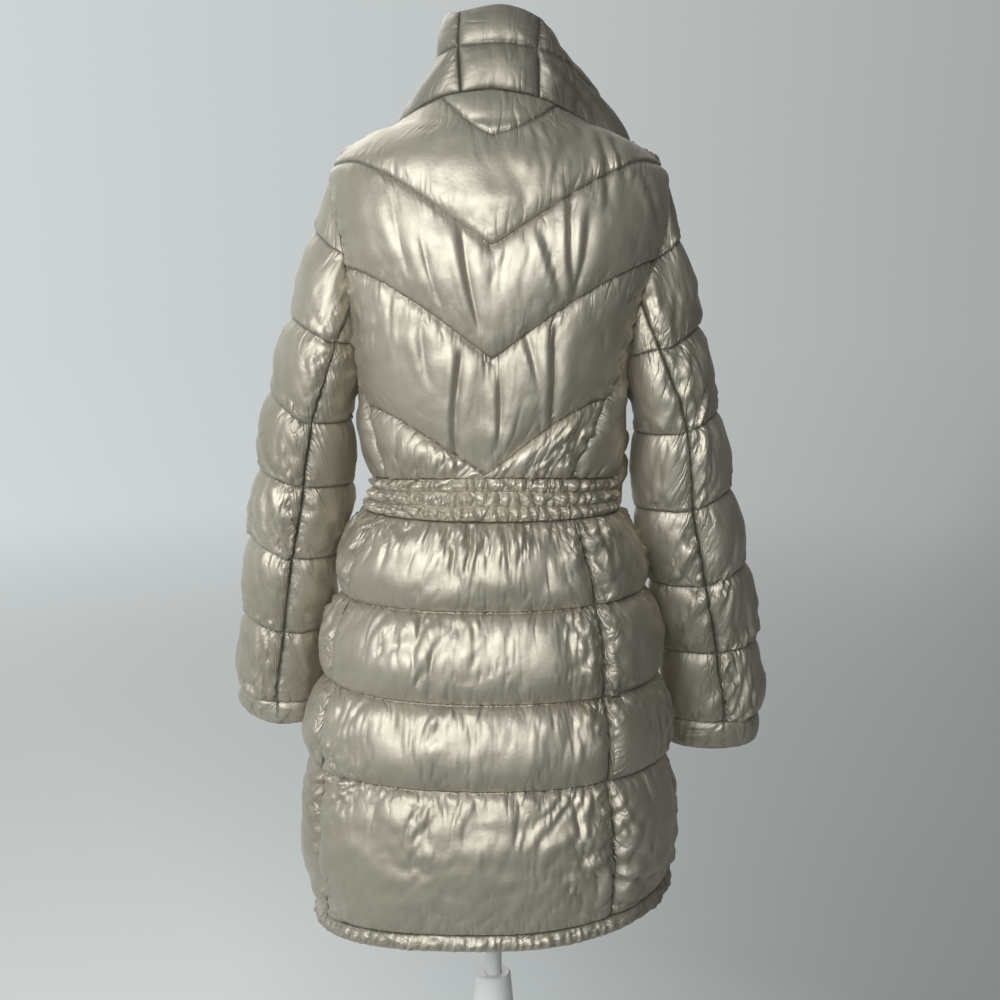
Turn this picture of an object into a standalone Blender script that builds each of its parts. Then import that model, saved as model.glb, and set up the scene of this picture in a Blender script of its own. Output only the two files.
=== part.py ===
"""Long puffer coat on a limbless dress form with its stand.

Metres, +Z up. The coat's front faces -Y and its left side is +X. The origin is the centre of the
base disc's flat underside. Angles around the body are in degrees from the centre back (+Y),
positive towards the coat's left side (+X), so 180 is the centre front.
"""

from math import atan2, cos, radians, sin

import bmesh
import bpy
import numpy as np

# ---------------------------------------------------------------- driving sizes
SEAM_GAP = 0.0004  # between pieces that are sewn together
CURVED_GAP = 0.0008  # where two pieces meet on a strongly curved seam
WALL = 0.003  # shell, down and lining pressed together at a stitch line
SQUARENESS = 2.3  # exponent of the body sections; 2 is an ellipse

SHOULDER = 1.372  # height of both shoulder points
ARMPIT = 1.140
ZIP_HALF = 0.0042  # half the space between the two front edges
ZIP_BOTTOM, ZIP_TOP = 0.552, 1.320

PUFF_BACK, PUFF_SIDE, PUFF_FRONT = 0.015, 0.007, 0.012  # how far the down lifts the shell
PUFF_SKIRT, PUFF_SLEEVE, PUFF_COLLAR = 0.016, 0.007, 0.005
PUFF_BAND, PUFF_HEM, PUFF_CUFF = 0.004, 0.006, 0.004
PUFF_SHARE = 0.22  # a channel lifts no more than this share of its height
BACK_COLUMNS, SIDE_COLUMNS, FRONT_COLUMNS = 16, 4, 6
BACK_ROWS = (3, 4, 4, 4)
ARMHOLE_FLAT, ARMHOLE_RISE = 0.010, 0.060

BASE_RADIUS, BASE_THICK, BOSS_RADIUS, BOSS_TOP = 0.178, 0.016, 0.030, 0.050
TUBE_RADIUS, POLE_RADIUS, SLIDE_GAP = 0.0165, 0.0098, 0.0004
CLAMP_TOP, CLAMP_BOTTOM = 0.447, 0.392
FORM_BOTTOM, NECK_TOP = 0.800, 1.475


def table(columns, *rows):
    """Rows of sizes as a dictionary of named columns. The first column rises."""
    return dict(zip(columns.split(), np.array(rows, float).T))


# Lining face of the coat at the stitch lines: half sizes of the section at each height.
BODY = table(
    "height left right back front",
    (0.500, 0.197, 0.197, 0.145, 0.158),
    (0.550, 0.198, 0.197, 0.146, 0.158),
    (0.660, 0.201, 0.194, 0.142, 0.153),
    (0.720, 0.200, 0.188, 0.139, 0.149),
    (0.810, 0.185, 0.180, 0.129, 0.141),
    (0.905, 0.165, 0.167, 0.116, 0.130),
    (1.000, 0.139, 0.138, 0.099, 0.113),
    (1.040, 0.128, 0.132, 0.094, 0.107),
    (1.080, 0.135, 0.135, 0.098, 0.114),
    (1.140, 0.143, 0.143, 0.106, 0.130),
    (1.200, 0.153, 0.156, 0.114, 0.137),
    (1.280, 0.166, 0.178, 0.120, 0.130),
    (1.330, 0.172, 0.187, 0.117, 0.116),
    (1.360, 0.172, 0.186, 0.111, 0.104),
    (1.375, 0.166, 0.176, 0.107, 0.097),
    (1.390, 0.150, 0.156, 0.101, 0.089),
    (1.402, 0.128, 0.133, 0.095, 0.081),
    (1.412, 0.103, 0.106, 0.089, 0.074),
    (1.425, 0.088, 0.088, 0.083, 0.066),
    (1.445, 0.078, 0.078, 0.074, 0.058),
)

# The coat hangs a little turned on the form: centre back, side seams and zip at each height.
TURN = table(
    "height centre side_left side_right zip",
    (0.500, 11.5, 101.0, 79.0, 191.0),
    (0.920, 11.5, 101.0, 79.0, 191.0),
    (1.002, 10.0, 99.5, 80.5, 189.5),
    (1.047, 8.0, 97.0, 83.0, 187.5),
    (1.100, 4.0, 92.5, 87.0, 183.5),
    (1.140, 1.5, 90.0, 90.0, 181.2),
    (1.190, 0.0, 90.0, 90.0, 180.0),
)

# Seams beside the centre back panels, up to where they run into the armholes.
PRINCESS = table(
    "height left right",
    (0.500, 64.0, 38.0),
    (0.600, 60.0, 38.0),
    (0.720, 61.0, 38.0),
    (0.810, 62.0, 38.0),
    (0.905, 65.0, 38.0),
    (1.000, 58.0, 36.0),
    (1.047, 56.0, 37.0),
    (1.075, 58.0, 42.0),
    (1.115, 64.0, 50.5),
    (1.140, 72.0, 57.0),
    (1.15625, 80.0, 60.0),
    (1.200, 90.0, 67.5),
)
PRINCESS_TOP = {"left": 1.15625, "right": 1.200}
# Rows of the side bodices along the side seam, counted in rows of the fronts.
SIDE_SEAM_ROWS = {"left": (0, 0.5, 1, 2, 3), "right": (0, 0.5, 1, 1.5, 2, 3)}

ARMHOLE_BACK = table(
    "height left right",
    (1.140, 90.0, 90.0),
    (1.15625, 80.0, 76.0),
    (1.180, 74.5, 70.5),
    (1.200, 72.0, 67.5),
    (1.236, 68.5, 66.0),
    (1.265, 65.0, 68.0),
    (1.290, 64.0, 74.0),
    (1.318, 70.0, 78.0),
    (1.345, 76.0, 79.5),
    (1.360, 82.0, 83.5),
    (1.372, 90.0, 90.0),
)
ARMHOLE_FRONT = table(
    "height angle",
    (1.140, 90.0),
    (1.160, 97.0),
    (1.180, 103.0),
    (1.210, 110.0),
    (1.250, 115.0),
    (1.290, 115.0),
    (1.320, 110.0),
    (1.345, 103.0),
    (1.360, 97.0),
    (1.372, 90.0),
)

NECK = table(
    "angle left right",
    (0, 1.443, 1.443),
    (30, 1.438, 1.436),
    (60, 1.426, 1.420),
    (90, 1.412, 1.395),
    (120, 1.408, 1.391),
    (150, 1.388, 1.378),
    (180, 1.345, 1.345),
)

# Heights of the level stitch lines at the back, the two sides and the front.
LEVELS = {
    "band_top": (1.047, 1.038, 1.038, 1.038),
    "band_bottom": (0.9995, 1.002, 1.002, 1.002),
    "first": (0.907, 0.908, 0.915, 0.905),
    "second": (0.811, 0.815, 0.817, 0.810),
    "third": (0.7205, 0.721, 0.728, 0.720),
    "hem_top": (0.5655, 0.549, 0.590, 0.566),
    "hem_bottom": (0.5465, 0.529, 0.570, 0.546),
}
SKIRT_LINES = ("hem_top", "third", "second", "first", "band_bottom")

# Chevrons of the back: height at the centre and at both ends, and how early the line levels out.
CHEVRONS = table(
    "centre left right reach",
    (1.0500, 1.120, 1.128, 1.00),
    (1.1710, 1.265, 1.272, 1.00),
    (1.2840, SHOULDER, SHOULDER, 0.65),
)
CHEVRON_CURVE = 1.1

# Stitch lines of the upper fronts: height at the side and at the zip.
FRONT_LINES = table(
    "side zip",
    (1.002, 1.002),
    (1.110, 1.105),
    (1.200, 1.180),
    (1.290, 1.240),
    (SHOULDER, 1.295),
)

# Sleeve rings from the first full ring down to the end of the cuff: outermost and innermost point
# of the lining, fore and aft place, half depth, and where the elbow seam lies around the ring.
RINGS = {
    "left": table(
        "ring outer outer_z inner inner_z y deep elbow",
        (1, 0.243, 1.135, 0.160, 1.100, -0.005, 0.054, -9.5),
        (2, 0.259, 1.047, 0.161, 1.029, -0.015, 0.050, -3.5),
        (3, 0.274, 0.969, 0.181, 0.946, -0.030, 0.047, -4.0),
        (4, 0.286, 0.875, 0.196, 0.857, -0.048, 0.044, -3.0),
        (5, 0.298, 0.782, 0.208, 0.770, -0.064, 0.040, 0.0),
        (6, 0.297, 0.752, 0.209, 0.740, -0.070, 0.038, 0.0),
    ),
    "right": table(
        "ring outer outer_z inner inner_z y deep elbow",
        (1, 0.246, 1.112, 0.160, 1.088, -0.005, 0.054, 9.0),
        (2, 0.265, 1.025, 0.164, 1.002, -0.015, 0.050, 6.0),
        (3, 0.287, 0.937, 0.183, 0.915, -0.030, 0.047, 3.0),
        (4, 0.305, 0.843, 0.199, 0.833, -0.048, 0.044, 4.0),
        (5, 0.313, 0.749, 0.209, 0.746, -0.064, 0.040, 10.0),
        (6, 0.313, 0.712, 0.210, 0.710, -0.070, 0.038, 10.0),
    ),
}
# Two stitch lines of the sleeve head: height at the seam and at the outer side.
HEAD_LINES = {
    "left": ((1.267, 1.308), (1.185, 1.216)),
    "right": ((1.268, 1.298), (1.173, 1.206)),
}
ELBOW_TOP = -13.5  # where the elbow seam leaves the armhole, around the armhole
HEAD_BULGE, UNDERARM_BULGE = 0.012, 0.010
LEAST_STEP = 0.03  # a line that runs out into a seam stays this share of a ring below it

# Collar above the neck seam: its stitch line and its top edge. It falls open to the right.
COLLAR = table(
    "angle x y z top_x top_y top_z",
    (-180, -0.026, -0.129, 1.368, -0.046, -0.152, 1.398),
    (-150, -0.098, -0.108, 1.400, -0.100, -0.128, 1.434),
    (-120, -0.126, -0.055, 1.422, -0.108, -0.075, 1.456),
    (-90, -0.116, -0.005, 1.442, -0.088, -0.025, 1.474),
    (-60, -0.086, 0.036, 1.466, -0.066, 0.015, 1.498),
    (-34, -0.047, 0.062, 1.485, -0.049, 0.047, 1.518),
    (0, -0.002, 0.068, 1.490, -0.006, 0.056, 1.530),
    (22, 0.034, 0.064, 1.487, 0.032, 0.050, 1.524),
    (60, 0.053, 0.035, 1.482, 0.047, 0.010, 1.530),
    (90, 0.054, -0.005, 1.480, 0.049, -0.035, 1.530),
    (120, 0.060, -0.050, 1.466, 0.055, -0.080, 1.520),
    (150, 0.058, -0.098, 1.440, 0.054, -0.118, 1.492),
    (180, 0.020, -0.132, 1.386, 0.030, -0.151, 1.436),
)

# Dress form: half width, reach to the back and reach to the front.
FORM = table(
    "height wide back front",
    (0.800, 0.136, 0.098, 0.100),
    (0.840, 0.147, 0.106, 0.110),
    (0.900, 0.144, 0.103, 0.112),
    (0.960, 0.130, 0.092, 0.102),
    (1.020, 0.112, 0.080, 0.088),
    (1.080, 0.116, 0.084, 0.096),
    (1.140, 0.128, 0.094, 0.114),
    (1.200, 0.138, 0.102, 0.124),
    (1.260, 0.147, 0.106, 0.119),
    (1.310, 0.153, 0.104, 0.106),
    (1.345, 0.156, 0.100, 0.096),
    (1.372, 0.155, 0.095, 0.086),
    (1.390, 0.1465, 0.088, 0.075),
    (1.402, 0.1252, 0.081, 0.066),
    (1.412, 0.1002, 0.073, 0.060),
    (1.425, 0.072, 0.060, 0.060),
    (1.440, 0.055, 0.048, 0.060),
    (NECK_TOP, 0.050, 0.042, 0.060),
)

NYLON = (0.50, 0.45, 0.36, 1.0)
COLLECTION = "Puffer coat on dress form"


# ---------------------------------------------------------------- small mathematics
def read(source, column, at, key=None):
    """A column of a table between its rows, smooth and without overshoot."""
    xs = source[key or next(iter(source))]
    ys = source[column]
    at = np.clip(np.asarray(at, float), xs[0], xs[-1])
    rise = np.diff(ys) / np.diff(xs)
    both = rise[:-1] + rise[1:]
    same = rise[:-1] * rise[1:] > 0
    slopes = np.zeros(len(ys))
    slopes[1:-1] = np.where(same, 2 * rise[:-1] * rise[1:] / np.where(same, both, 1), 0)
    slopes[0], slopes[-1] = rise[0], rise[-1]
    i = np.clip(np.searchsorted(xs, at, side="right") - 1, 0, len(xs) - 2)
    step = xs[i + 1] - xs[i]
    t = (at - xs[i]) / step
    start = (1 + 2 * t) * (1 - t) ** 2 * ys[i] + t * (1 - t) ** 2 * step * slopes[i]
    end = t * t * (3 - 2 * t) * ys[i + 1] - t * t * (1 - t) * step * slopes[i + 1]
    return start + end


def unit(vectors):
    return vectors / np.linalg.norm(vectors, axis=-1, keepdims=True)


def rounded(sine, cosine):
    """Pushes an ellipse's sine and cosine out to the squarer body section."""
    power = np.abs(sine) ** SQUARENESS + np.abs(cosine) ** SQUARENESS
    return power ** (-1 / SQUARENESS)


# ---------------------------------------------------------------- surfaces
def body(angle, height):
    """Lining of the coat's body at an angle and a height."""
    angle, height = np.broadcast_arrays(np.radians(angle), np.asarray(height, float))
    sine, cosine = np.sin(angle), np.cos(angle)
    wide = np.where(sine >= 0, read(BODY, "left", height), read(BODY, "right", height))
    deep = np.where(cosine >= 0, read(BODY, "back", height), read(BODY, "front", height))
    out = rounded(sine, cosine)
    return np.stack([wide * sine * out, deep * cosine * out, height], -1)


def body_normal(angle, height):
    across = body(angle + 0.5, height) - body(angle - 0.5, height)
    up = body(angle, height + 0.001) - body(angle, height - 0.001)
    return unit(np.cross(up, across))


def level(name, angle):
    """Height of a level stitch line around the body."""
    back, left, right, front = LEVELS[name]
    angle = np.radians(angle)
    ends = np.where(np.cos(angle) >= 0, back, front)
    sides = np.where(np.sin(angle) >= 0, left, right)
    return ends * np.cos(angle) ** 2 + sides * np.sin(angle) ** 2


def neck_height(angle):
    away = np.abs(angle)
    return np.where(np.asarray(angle) >= 0, read(NECK, "left", away), read(NECK, "right", away))


def neck_outward(angle):
    """Wall direction shared by the body and the collar along the neck seam."""
    height = neck_height(angle)
    flat = body(angle, height) * (1, 1, 0)
    return unit(body_normal(angle, height) + unit(flat))


def sign(side):
    return 1 if side == "left" else -1


def armhole_angle(side, height, front):
    table_angle = read(ARMHOLE_FRONT, "angle", height) if front else read(ARMHOLE_BACK, side, height)
    return sign(side) * table_angle


def armhole(side, height, front):
    return body(armhole_angle(side, height, front), height)


def armhole_outward(side, height, front):
    """Wall direction shared by the body and the sleeve along the armhole seam."""
    angle = armhole_angle(side, height, front)
    middle = (armhole(side, SHOULDER, False) + armhole(side, ARMPIT, False)) / 2
    away = unit(body(angle, height) - middle)
    around = around_armhole(height, front)
    return unit(body_normal(angle, height) + sleeve_normal(side, around, 0.05) + 0.3 * away)


def around_armhole(height, front):
    """A height on the armhole seam as an angle around the sleeve."""
    share = (np.asarray(height) - (SHOULDER + ARMPIT) / 2) / ((SHOULDER - ARMPIT) / 2)
    around = np.degrees(np.arcsin(np.clip(share, -1, 1)))
    return 180 - around if front else around


def ring(side, around, at):
    """Lining of the sleeve from the first full ring down. around: 0 back, 90 outer, 180 front."""
    sine, cosine = np.sin(np.radians(around)), np.cos(np.radians(around))
    rows = RINGS[side]
    inner, outer = read(rows, "inner", at), read(rows, "outer", at)
    inner_z, outer_z = read(rows, "inner_z", at), read(rows, "outer_z", at)
    x = inner + (outer - inner) * (1 + sine) / 2
    y = read(rows, "y", at) + read(rows, "deep", at) * cosine * rounded(sine, cosine)
    z = inner_z + (outer_z - inner_z) * np.maximum(0, sine) ** 1.2
    return np.stack([sign(side) * x, y, z], -1)


def sleeve(side, around, at):
    """Lining of the whole sleeve: at 0 is the armhole, 1 the first full ring, 6 the cuff's end."""
    around, at = np.broadcast_arrays(np.asarray(around, float), np.asarray(at, float))
    sine, cosine = np.sin(np.radians(around)), np.cos(np.radians(around))
    height = (SHOULDER + ARMPIT) / 2 + (SHOULDER - ARMPIT) / 2 * sine
    front = cosine < 0
    start = np.where(
        front[..., None], armhole(side, height, True), armhole(side, height, False)
    )
    share = np.clip(at, 0, 1)[..., None]
    swell = np.sin(np.pi * share)
    bulge = np.stack(
        [sign(side) * UNDERARM_BULGE * np.maximum(0, -sine), HEAD_BULGE * cosine, 0 * sine], -1
    )
    head = start + (ring(side, around, 1.0) - start) * share + bulge * swell
    return np.where(at[..., None] > 1, ring(side, around, np.maximum(at, 1)), head)


def sleeve_normal(side, around, at):
    about = sleeve(side, around + 1, at) - sleeve(side, around - 1, at)
    down = sleeve(side, around, at + 0.01) - sleeve(side, around, np.maximum(at - 0.01, 0))
    return unit(np.cross(about, down)) * sign(side)


def armhole_parting(side, height, front):
    """A share of a seam gap across the armhole seam, towards the sleeve."""
    around = around_armhole(height, front)
    along = sleeve(side, around + 2, 0) - sleeve(side, around - 2, 0)
    across = unit(np.cross(armhole_outward(side, height, front), along))
    onward = sleeve(side, around, 0.1) - sleeve(side, around, 0)
    towards = np.sign((across * onward).sum(-1, keepdims=True))
    return across * towards * SEAM_GAP * 0.7


def head_share(side, line, around):
    """Where a stitch line of the sleeve head lies between the armhole and the first full ring."""
    seam_z, outer_z = HEAD_LINES[side][line]
    sine = np.sin(np.radians(around))
    height = seam_z + (outer_z - seam_z) * np.maximum(0, sine)
    start = (SHOULDER + ARMPIT) / 2 + (SHOULDER - ARMPIT) / 2 * sine
    end = ring(side, around, 1.0)[..., 2]
    return np.clip((start - height) / (start - end), 0, 1)


def collar(angle, at):
    """Lining of the collar: at 0 is the neck seam, 1 its stitch line and 2 its top edge."""
    angle, at = np.broadcast_arrays(np.asarray(angle, float), np.asarray(at, float))
    base = body(angle, neck_height(angle))
    middle = np.stack([read(COLLAR, name, angle) for name in ("x", "y", "z")], -1)
    top = np.stack([read(COLLAR, name, angle) for name in ("top_x", "top_y", "top_z")], -1)
    t = at[..., None]
    return np.where(t < 1, base + (middle - base) * t, middle + (top - middle) * (t - 1))


def collar_normal(angle, at):
    across = collar(angle + 1, at) - collar(angle - 1, at)
    up = collar(angle, np.minimum(at + 0.05, 2)) - collar(angle, np.maximum(at - 0.05, 0))
    return unit(np.cross(up, across))


# ---------------------------------------------------------------- walls
def pull_in(points, gap=SEAM_GAP):
    """Draws the four edges of a grid in by half a seam gap each."""
    points = points.copy()
    half = gap / 2
    points[0] += half * unit(points[1] - points[0])
    points[-1] += half * unit(points[-2] - points[-1])
    points[:, 0] += half * unit(points[:, 1] - points[:, 0])
    points[:, -1] += half * unit(points[:, -2] - points[:, -1])
    return points


def rows_between(lines, counts):
    """Rows of a grid between stitch lines, with each row's share of its channel's height."""
    rows, shares = [lines[0]], [0.0]
    for low, high, count in zip(lines[:-1], lines[1:], counts):
        for step in range(1, count + 1):
            rows.append(low + (high - low) * step / count)
            shares.append(step / count)
    return np.array(rows), np.array(shares)


def near_armhole(points):
    """How freely the down may rise: 0 at the armhole seams, 1 well away from them."""
    nearest = np.full(points.shape[:2], 1.0)
    for side in ("left", "right"):
        for front in (True, False):
            seam = armhole(side, np.linspace(ARMPIT, SHOULDER, 25), front)
            gaps = np.linalg.norm(points[:, :, None] - seam, axis=-1)
            nearest = np.minimum(nearest, gaps.min(-1))
    return np.clip((nearest - ARMHOLE_FLAT) / ARMHOLE_RISE, 0, 1)


def lift(points, shares, most, fade=True):
    """Thickness of a padded grid: least at its stitch lines and side seams."""
    swell = np.sin(np.pi * (shares % 1.0)) ** 0.6
    stops = [i for i, share in enumerate(shares) if share % 1.0 == 0.0]
    heights = np.zeros(points.shape[:2])
    for low, high in zip(stops[:-1], stops[1:]):
        heights[low : high + 1] = np.linalg.norm(points[high] - points[low], axis=-1)
    raised = np.minimum(most, PUFF_SHARE * heights) * swell[:, None] * near_armhole(points)
    if fade:
        raised[:, 0] = raised[:, -1] = 0
    return WALL + raised


def wall(name, inner, outward, thick, material, loop=False):
    """A closed wall between the grid of lining points and the same grid moved outwards."""
    outer = inner + outward * np.asarray(thick)[..., None]
    rows, columns = inner.shape[:2]
    mesh = bmesh.new()
    low = [[mesh.verts.new(p) for p in row] for row in inner.tolist()]
    high = [[mesh.verts.new(p) for p in row] for row in outer.tolist()]
    spans = columns if loop else columns - 1
    for i in range(rows - 1):
        for j in range(spans):
            k = (j + 1) % columns
            mesh.faces.new((high[i][j], high[i][k], high[i + 1][k], high[i + 1][j]))
            mesh.faces.new((low[i][j], low[i + 1][j], low[i + 1][k], low[i][k]))
    for j in range(spans):
        k = (j + 1) % columns
        mesh.faces.new((low[0][j], low[0][k], high[0][k], high[0][j]))
        mesh.faces.new((low[-1][j], high[-1][j], high[-1][k], low[-1][k]))
    if not loop:
        for i in range(rows - 1):
            mesh.faces.new((low[i][0], high[i][0], high[i + 1][0], low[i + 1][0]))
            mesh.faces.new((low[i][-1], low[i + 1][-1], high[i + 1][-1], high[i][-1]))
    bmesh.ops.recalc_face_normals(mesh, faces=mesh.faces)
    return finished(name, mesh, material)


def finished(name, mesh, material):
    data = bpy.data.meshes.new(name)
    mesh.to_mesh(data)
    mesh.free()
    return placed(name, data, material)


def placed(name, data, material):
    thing = bpy.data.objects.new(name, data)
    thing.data.materials.append(material)
    bpy.data.collections[COLLECTION].objects.link(thing)
    return thing


def finish(name, colour, roughness, metallic=0.0):
    material = bpy.data.materials.new(name)
    material.use_nodes = True
    shader = material.node_tree.nodes["Principled BSDF"]
    shader.inputs["Base Color"].default_value = colour
    shader.inputs["Roughness"].default_value = roughness
    shader.inputs["Metallic"].default_value = metallic
    return material


def nylon(name, shade=1.0):
    """The satin shell fabric in one panel's own shade."""
    colour = tuple(part * shade for part in NYLON[:3]) + (1.0,)
    return finish(name + "_nylon", colour, 0.34, 0.15)


# ---------------------------------------------------------------- the body's panels
def back_edge(side, height):
    """Angle of the back panel's edge: princess seam, armhole, then the shoulder seam."""
    seam = read(PRINCESS, side, height)
    hole = read(ARMHOLE_BACK, side, height)
    return sign(side) * np.where(np.asarray(height) >= PRINCESS_TOP[side], hole, seam)


def back_angles(height_left, height_right):
    """Angles of a row of the back, from its right edge (-1) over the centre (0) to the left (1)."""
    across = np.linspace(-1, 1, BACK_COLUMNS + 1)
    left, right = back_edge("left", height_left), back_edge("right", height_right)
    centre = read(TURN, "centre", (height_left + height_right) / 2)
    return np.where(
        across >= 0, centre + (left - centre) * across, centre + (centre - right) * across
    )


def side_angles(side, height):
    """Angles of a side panel's row, from the princess seam to the side seam."""
    seam, edge = read(PRINCESS, side, height), read(TURN, "side_" + side, height)
    return sign(side) * (seam + (edge - seam) * np.linspace(0, 1, SIDE_COLUMNS + 1))


def whole_back(height):
    """Angles of a row from the right side seam round the back to the left side seam."""
    right, left = side_angles("right", height), side_angles("left", height)
    return np.concatenate([right[:0:-1], back_angles(height, height), left[1:]])


def zip_angle(side, height):
    """Angle of a front's zip edge."""
    centre = read(TURN, "zip", height)
    per_degree = np.linalg.norm(body(180.5, height) - body(179.5, height), axis=-1)
    inset = ZIP_HALF / per_degree
    return centre - inset if side == "left" else centre - 360 + inset


def front_angles(side, height_side, height_zip):
    """Angles of a front's row, from the side seam or armhole to the zip."""
    seam = read(TURN, "side_" + side, height_side)
    hole = read(ARMHOLE_FRONT, "angle", height_side)
    start = sign(side) * (hole if height_side > ARMPIT else seam)
    end = zip_angle(side, height_zip)
    return start + (end - start) * np.linspace(0, 1, FRONT_COLUMNS + 1)


def level_rows(names, counts, angles_at):
    """Grid between level stitch lines. Pieces that meet take the same angles at each height."""
    nominal, shares = rows_between([LEVELS[name][1] for name in names], counts)
    lines = [level(name, angles_at(LEVELS[name][1])) for name in names]
    heights, _ = rows_between(lines, counts)
    angles = np.array([angles_at(height) for height in nominal])
    return angles, heights, shares


def body_wall(name, grid, most, fabric, fade=True, gap=SEAM_GAP):
    angles, heights, shares = grid
    points = body(angles, heights)
    thick = lift(points, shares, most, fade)
    return wall(name, pull_in(points, gap), body_normal(angles, heights), thick, fabric)


def bend(across, reach):
    return np.sin(np.pi / 2 * np.minimum(np.abs(across) / reach, 1)) ** CHEVRON_CURVE


def back_rows():
    """Heights of the back bodice, from the waistband over the chevrons to the neck seam."""
    across = np.linspace(-1, 1, BACK_COLUMNS + 1)
    band = LEVELS["band_top"][1]
    lines = [level("band_top", back_angles(band, band))]
    for centre, left, right, reach in zip(*(CHEVRONS[key] for key in CHEVRONS)):
        ends = np.where(across >= 0, left, right)
        lines.append(centre + (ends - centre) * bend(across, reach))
    lines.append(neck_height(90 * across))
    return rows_between(lines, BACK_ROWS)


def back_bodice():
    heights, shares = back_rows()
    band = LEVELS["band_top"][1]
    angles = np.array([back_angles(row[-1], row[0]) for row in heights])
    angles[0] = back_angles(band, band)
    outward = body_normal(angles, heights)
    parting = np.zeros_like(outward)
    for i, row in enumerate(heights):
        for column, side in ((0, "right"), (-1, "left")):
            if PRINCESS_TOP[side] - 1e-6 <= row[column] <= SHOULDER + 1e-6:
                outward[i, column] = armhole_outward(side, row[column], False)
                parting[i, column] = armhole_parting(side, row[column], False)
    outward[-1] = neck_outward(angles[-1])
    points = body(angles, heights)
    thick = lift(points, shares, PUFF_BACK * flatter(outward))
    return wall("back_bodice", pull_in(points) - parting, outward, thick, nylon("back"))


def flatter(outward):
    """The down is pressed down where the coat rests on the shoulders."""
    return np.clip(1 - 1.4 * np.maximum(0, outward[..., 2]), 0.12, 1)


def side_bodice(side):
    """Between the princess seam and the side seam, from the waistband up to the armhole."""
    band = LEVELS["band_top"][1]
    edge = back_rows()[0][:, -1 if side == "left" else 0]
    edge = edge[edge <= PRINCESS_TOP[side] + 1e-6]
    share = (edge - edge[0]) / (edge[-1] - edge[0])
    low_angles = side_angles(side, band)
    low = level("band_top", low_angles)
    high = np.linspace(PRINCESS_TOP[side], ARMPIT, SIDE_COLUMNS + 1)
    step = (FRONT_LINES["side"][1] - FRONT_LINES["side"][0]) / 3
    seam_nodes = [low[-1], FRONT_LINES["side"][1] - step, FRONT_LINES["side"][1], ARMPIT]
    seam_edge = np.interp(SIDE_SEAM_ROWS[side], range(4), seam_nodes)
    across = np.linspace(0, 1, SIDE_COLUMNS + 1)
    heights = edge[:, None] + (seam_edge - edge)[:, None] * across
    heights[0], heights[-1] = low, high
    angles = []
    for row in heights:
        seam, end = read(PRINCESS, side, row[0]), read(TURN, "side_" + side, row[-1])
        angles.append(sign(side) * (seam + (end - seam) * across))
    angles[0] = low_angles
    angles[-1] = armhole_angle(side, high, False)
    angles = np.array(angles)
    outward = body_normal(angles, heights)
    outward[-1] = armhole_outward(side, high, False)
    points = body(angles, heights)
    thick = lift(points, share, PUFF_SIDE)
    inner = pull_in(points, CURVED_GAP)
    inner[-1] -= armhole_parting(side, high, False)
    name = "side_bodice_" + side
    return wall(name, inner, outward, thick, nylon(name, 0.9))


def waistband():
    """Three shirred channels around the back, from side seam to side seam."""
    nominal = np.linspace(LEVELS["band_bottom"][1], LEVELS["band_top"][1], 7)
    low = level("band_bottom", whole_back(nominal[0]))
    high = level("band_top", whole_back(nominal[-1]))
    shares = np.array([0, 0.5, 1, 0.5, 1, 0.5, 1])
    angles = np.array([whole_back(height) for height in nominal])
    heights = low + (high - low) * np.linspace(0, 1, 7)[:, None]
    grid = angles, heights, shares
    body_wall("waistband", grid, PUFF_BAND, nylon("waistband", 0.95), gap=CURVED_GAP)


def skirt():
    rows = (3, 3, 3, 3)
    grid = level_rows(SKIRT_LINES, rows, lambda height: back_angles(height, height))
    body_wall("skirt_back", grid, PUFF_SKIRT, nylon("skirt"))
    for side in ("left", "right"):
        grid = level_rows(SKIRT_LINES, rows, lambda height, side=side: side_angles(side, height))
        name = "skirt_side_" + side
        body_wall(name, grid, PUFF_SKIRT, nylon(name, 0.9))


def hem_band():
    """One band right round the hem, from one side of the zip to the other."""

    def whole_round(height):
        right, left = (front_angles(side, height, height) for side in ("right", "left"))
        return np.concatenate([right[:0:-1], whole_back(height), left[1:]])

    grid = level_rows(("hem_bottom", "hem_top"), (2,), whole_round)
    body_wall("hem_band", grid, PUFF_HEM, nylon("hem_band", 1.05), fade=False)


def front_skirt(side):
    """From the hem band up to the waist seam, between the side seam and the zip."""
    grid = level_rows(
        SKIRT_LINES, (3, 3, 3, 3), lambda height: front_angles(side, height, height)
    )
    name = "skirt_front_" + side
    body_wall(name, grid, PUFF_FRONT, nylon(name))
    return grid[0][-1], grid[1][-1]


def front_panel(side):
    """The skirt part and, above the waist seam, the upper front up to the neck seam."""
    waist_angles, waist = front_skirt(side)
    across = np.linspace(0, 1, FRONT_COLUMNS + 1)
    ease = across * across * (3 - 2 * across)
    lines = [waist]
    for edge, closing in zip(FRONT_LINES["side"][1:], FRONT_LINES["zip"][1:]):
        lines.append(edge + (closing - edge) * ease)
    neck_end = zip_angle(side, NECK["left"][-1])
    neck = sign(side) * 90 + (neck_end - sign(side) * 90) * across
    lines.append(neck_height(neck))
    heights, shares = rows_between(lines, (3,) * (len(lines) - 1))
    angles = np.array([front_angles(side, row[0], row[-1]) for row in heights])
    angles[0], angles[-1] = waist_angles, neck
    outward = body_normal(angles, heights)
    points = body(angles, heights)
    inner = pull_in(points)
    for i, row in enumerate(heights):
        if ARMPIT - 1e-6 <= row[0] <= SHOULDER + 1e-6:
            outward[i, 0] = armhole_outward(side, row[0], True)
            inner[i, 0] -= armhole_parting(side, row[0], True)
    outward[-1] = neck_outward(neck)
    name = "front_" + side
    thick = lift(points, shares, PUFF_FRONT * flatter(outward))
    return wall(name, inner, outward, thick, nylon(name))


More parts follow.
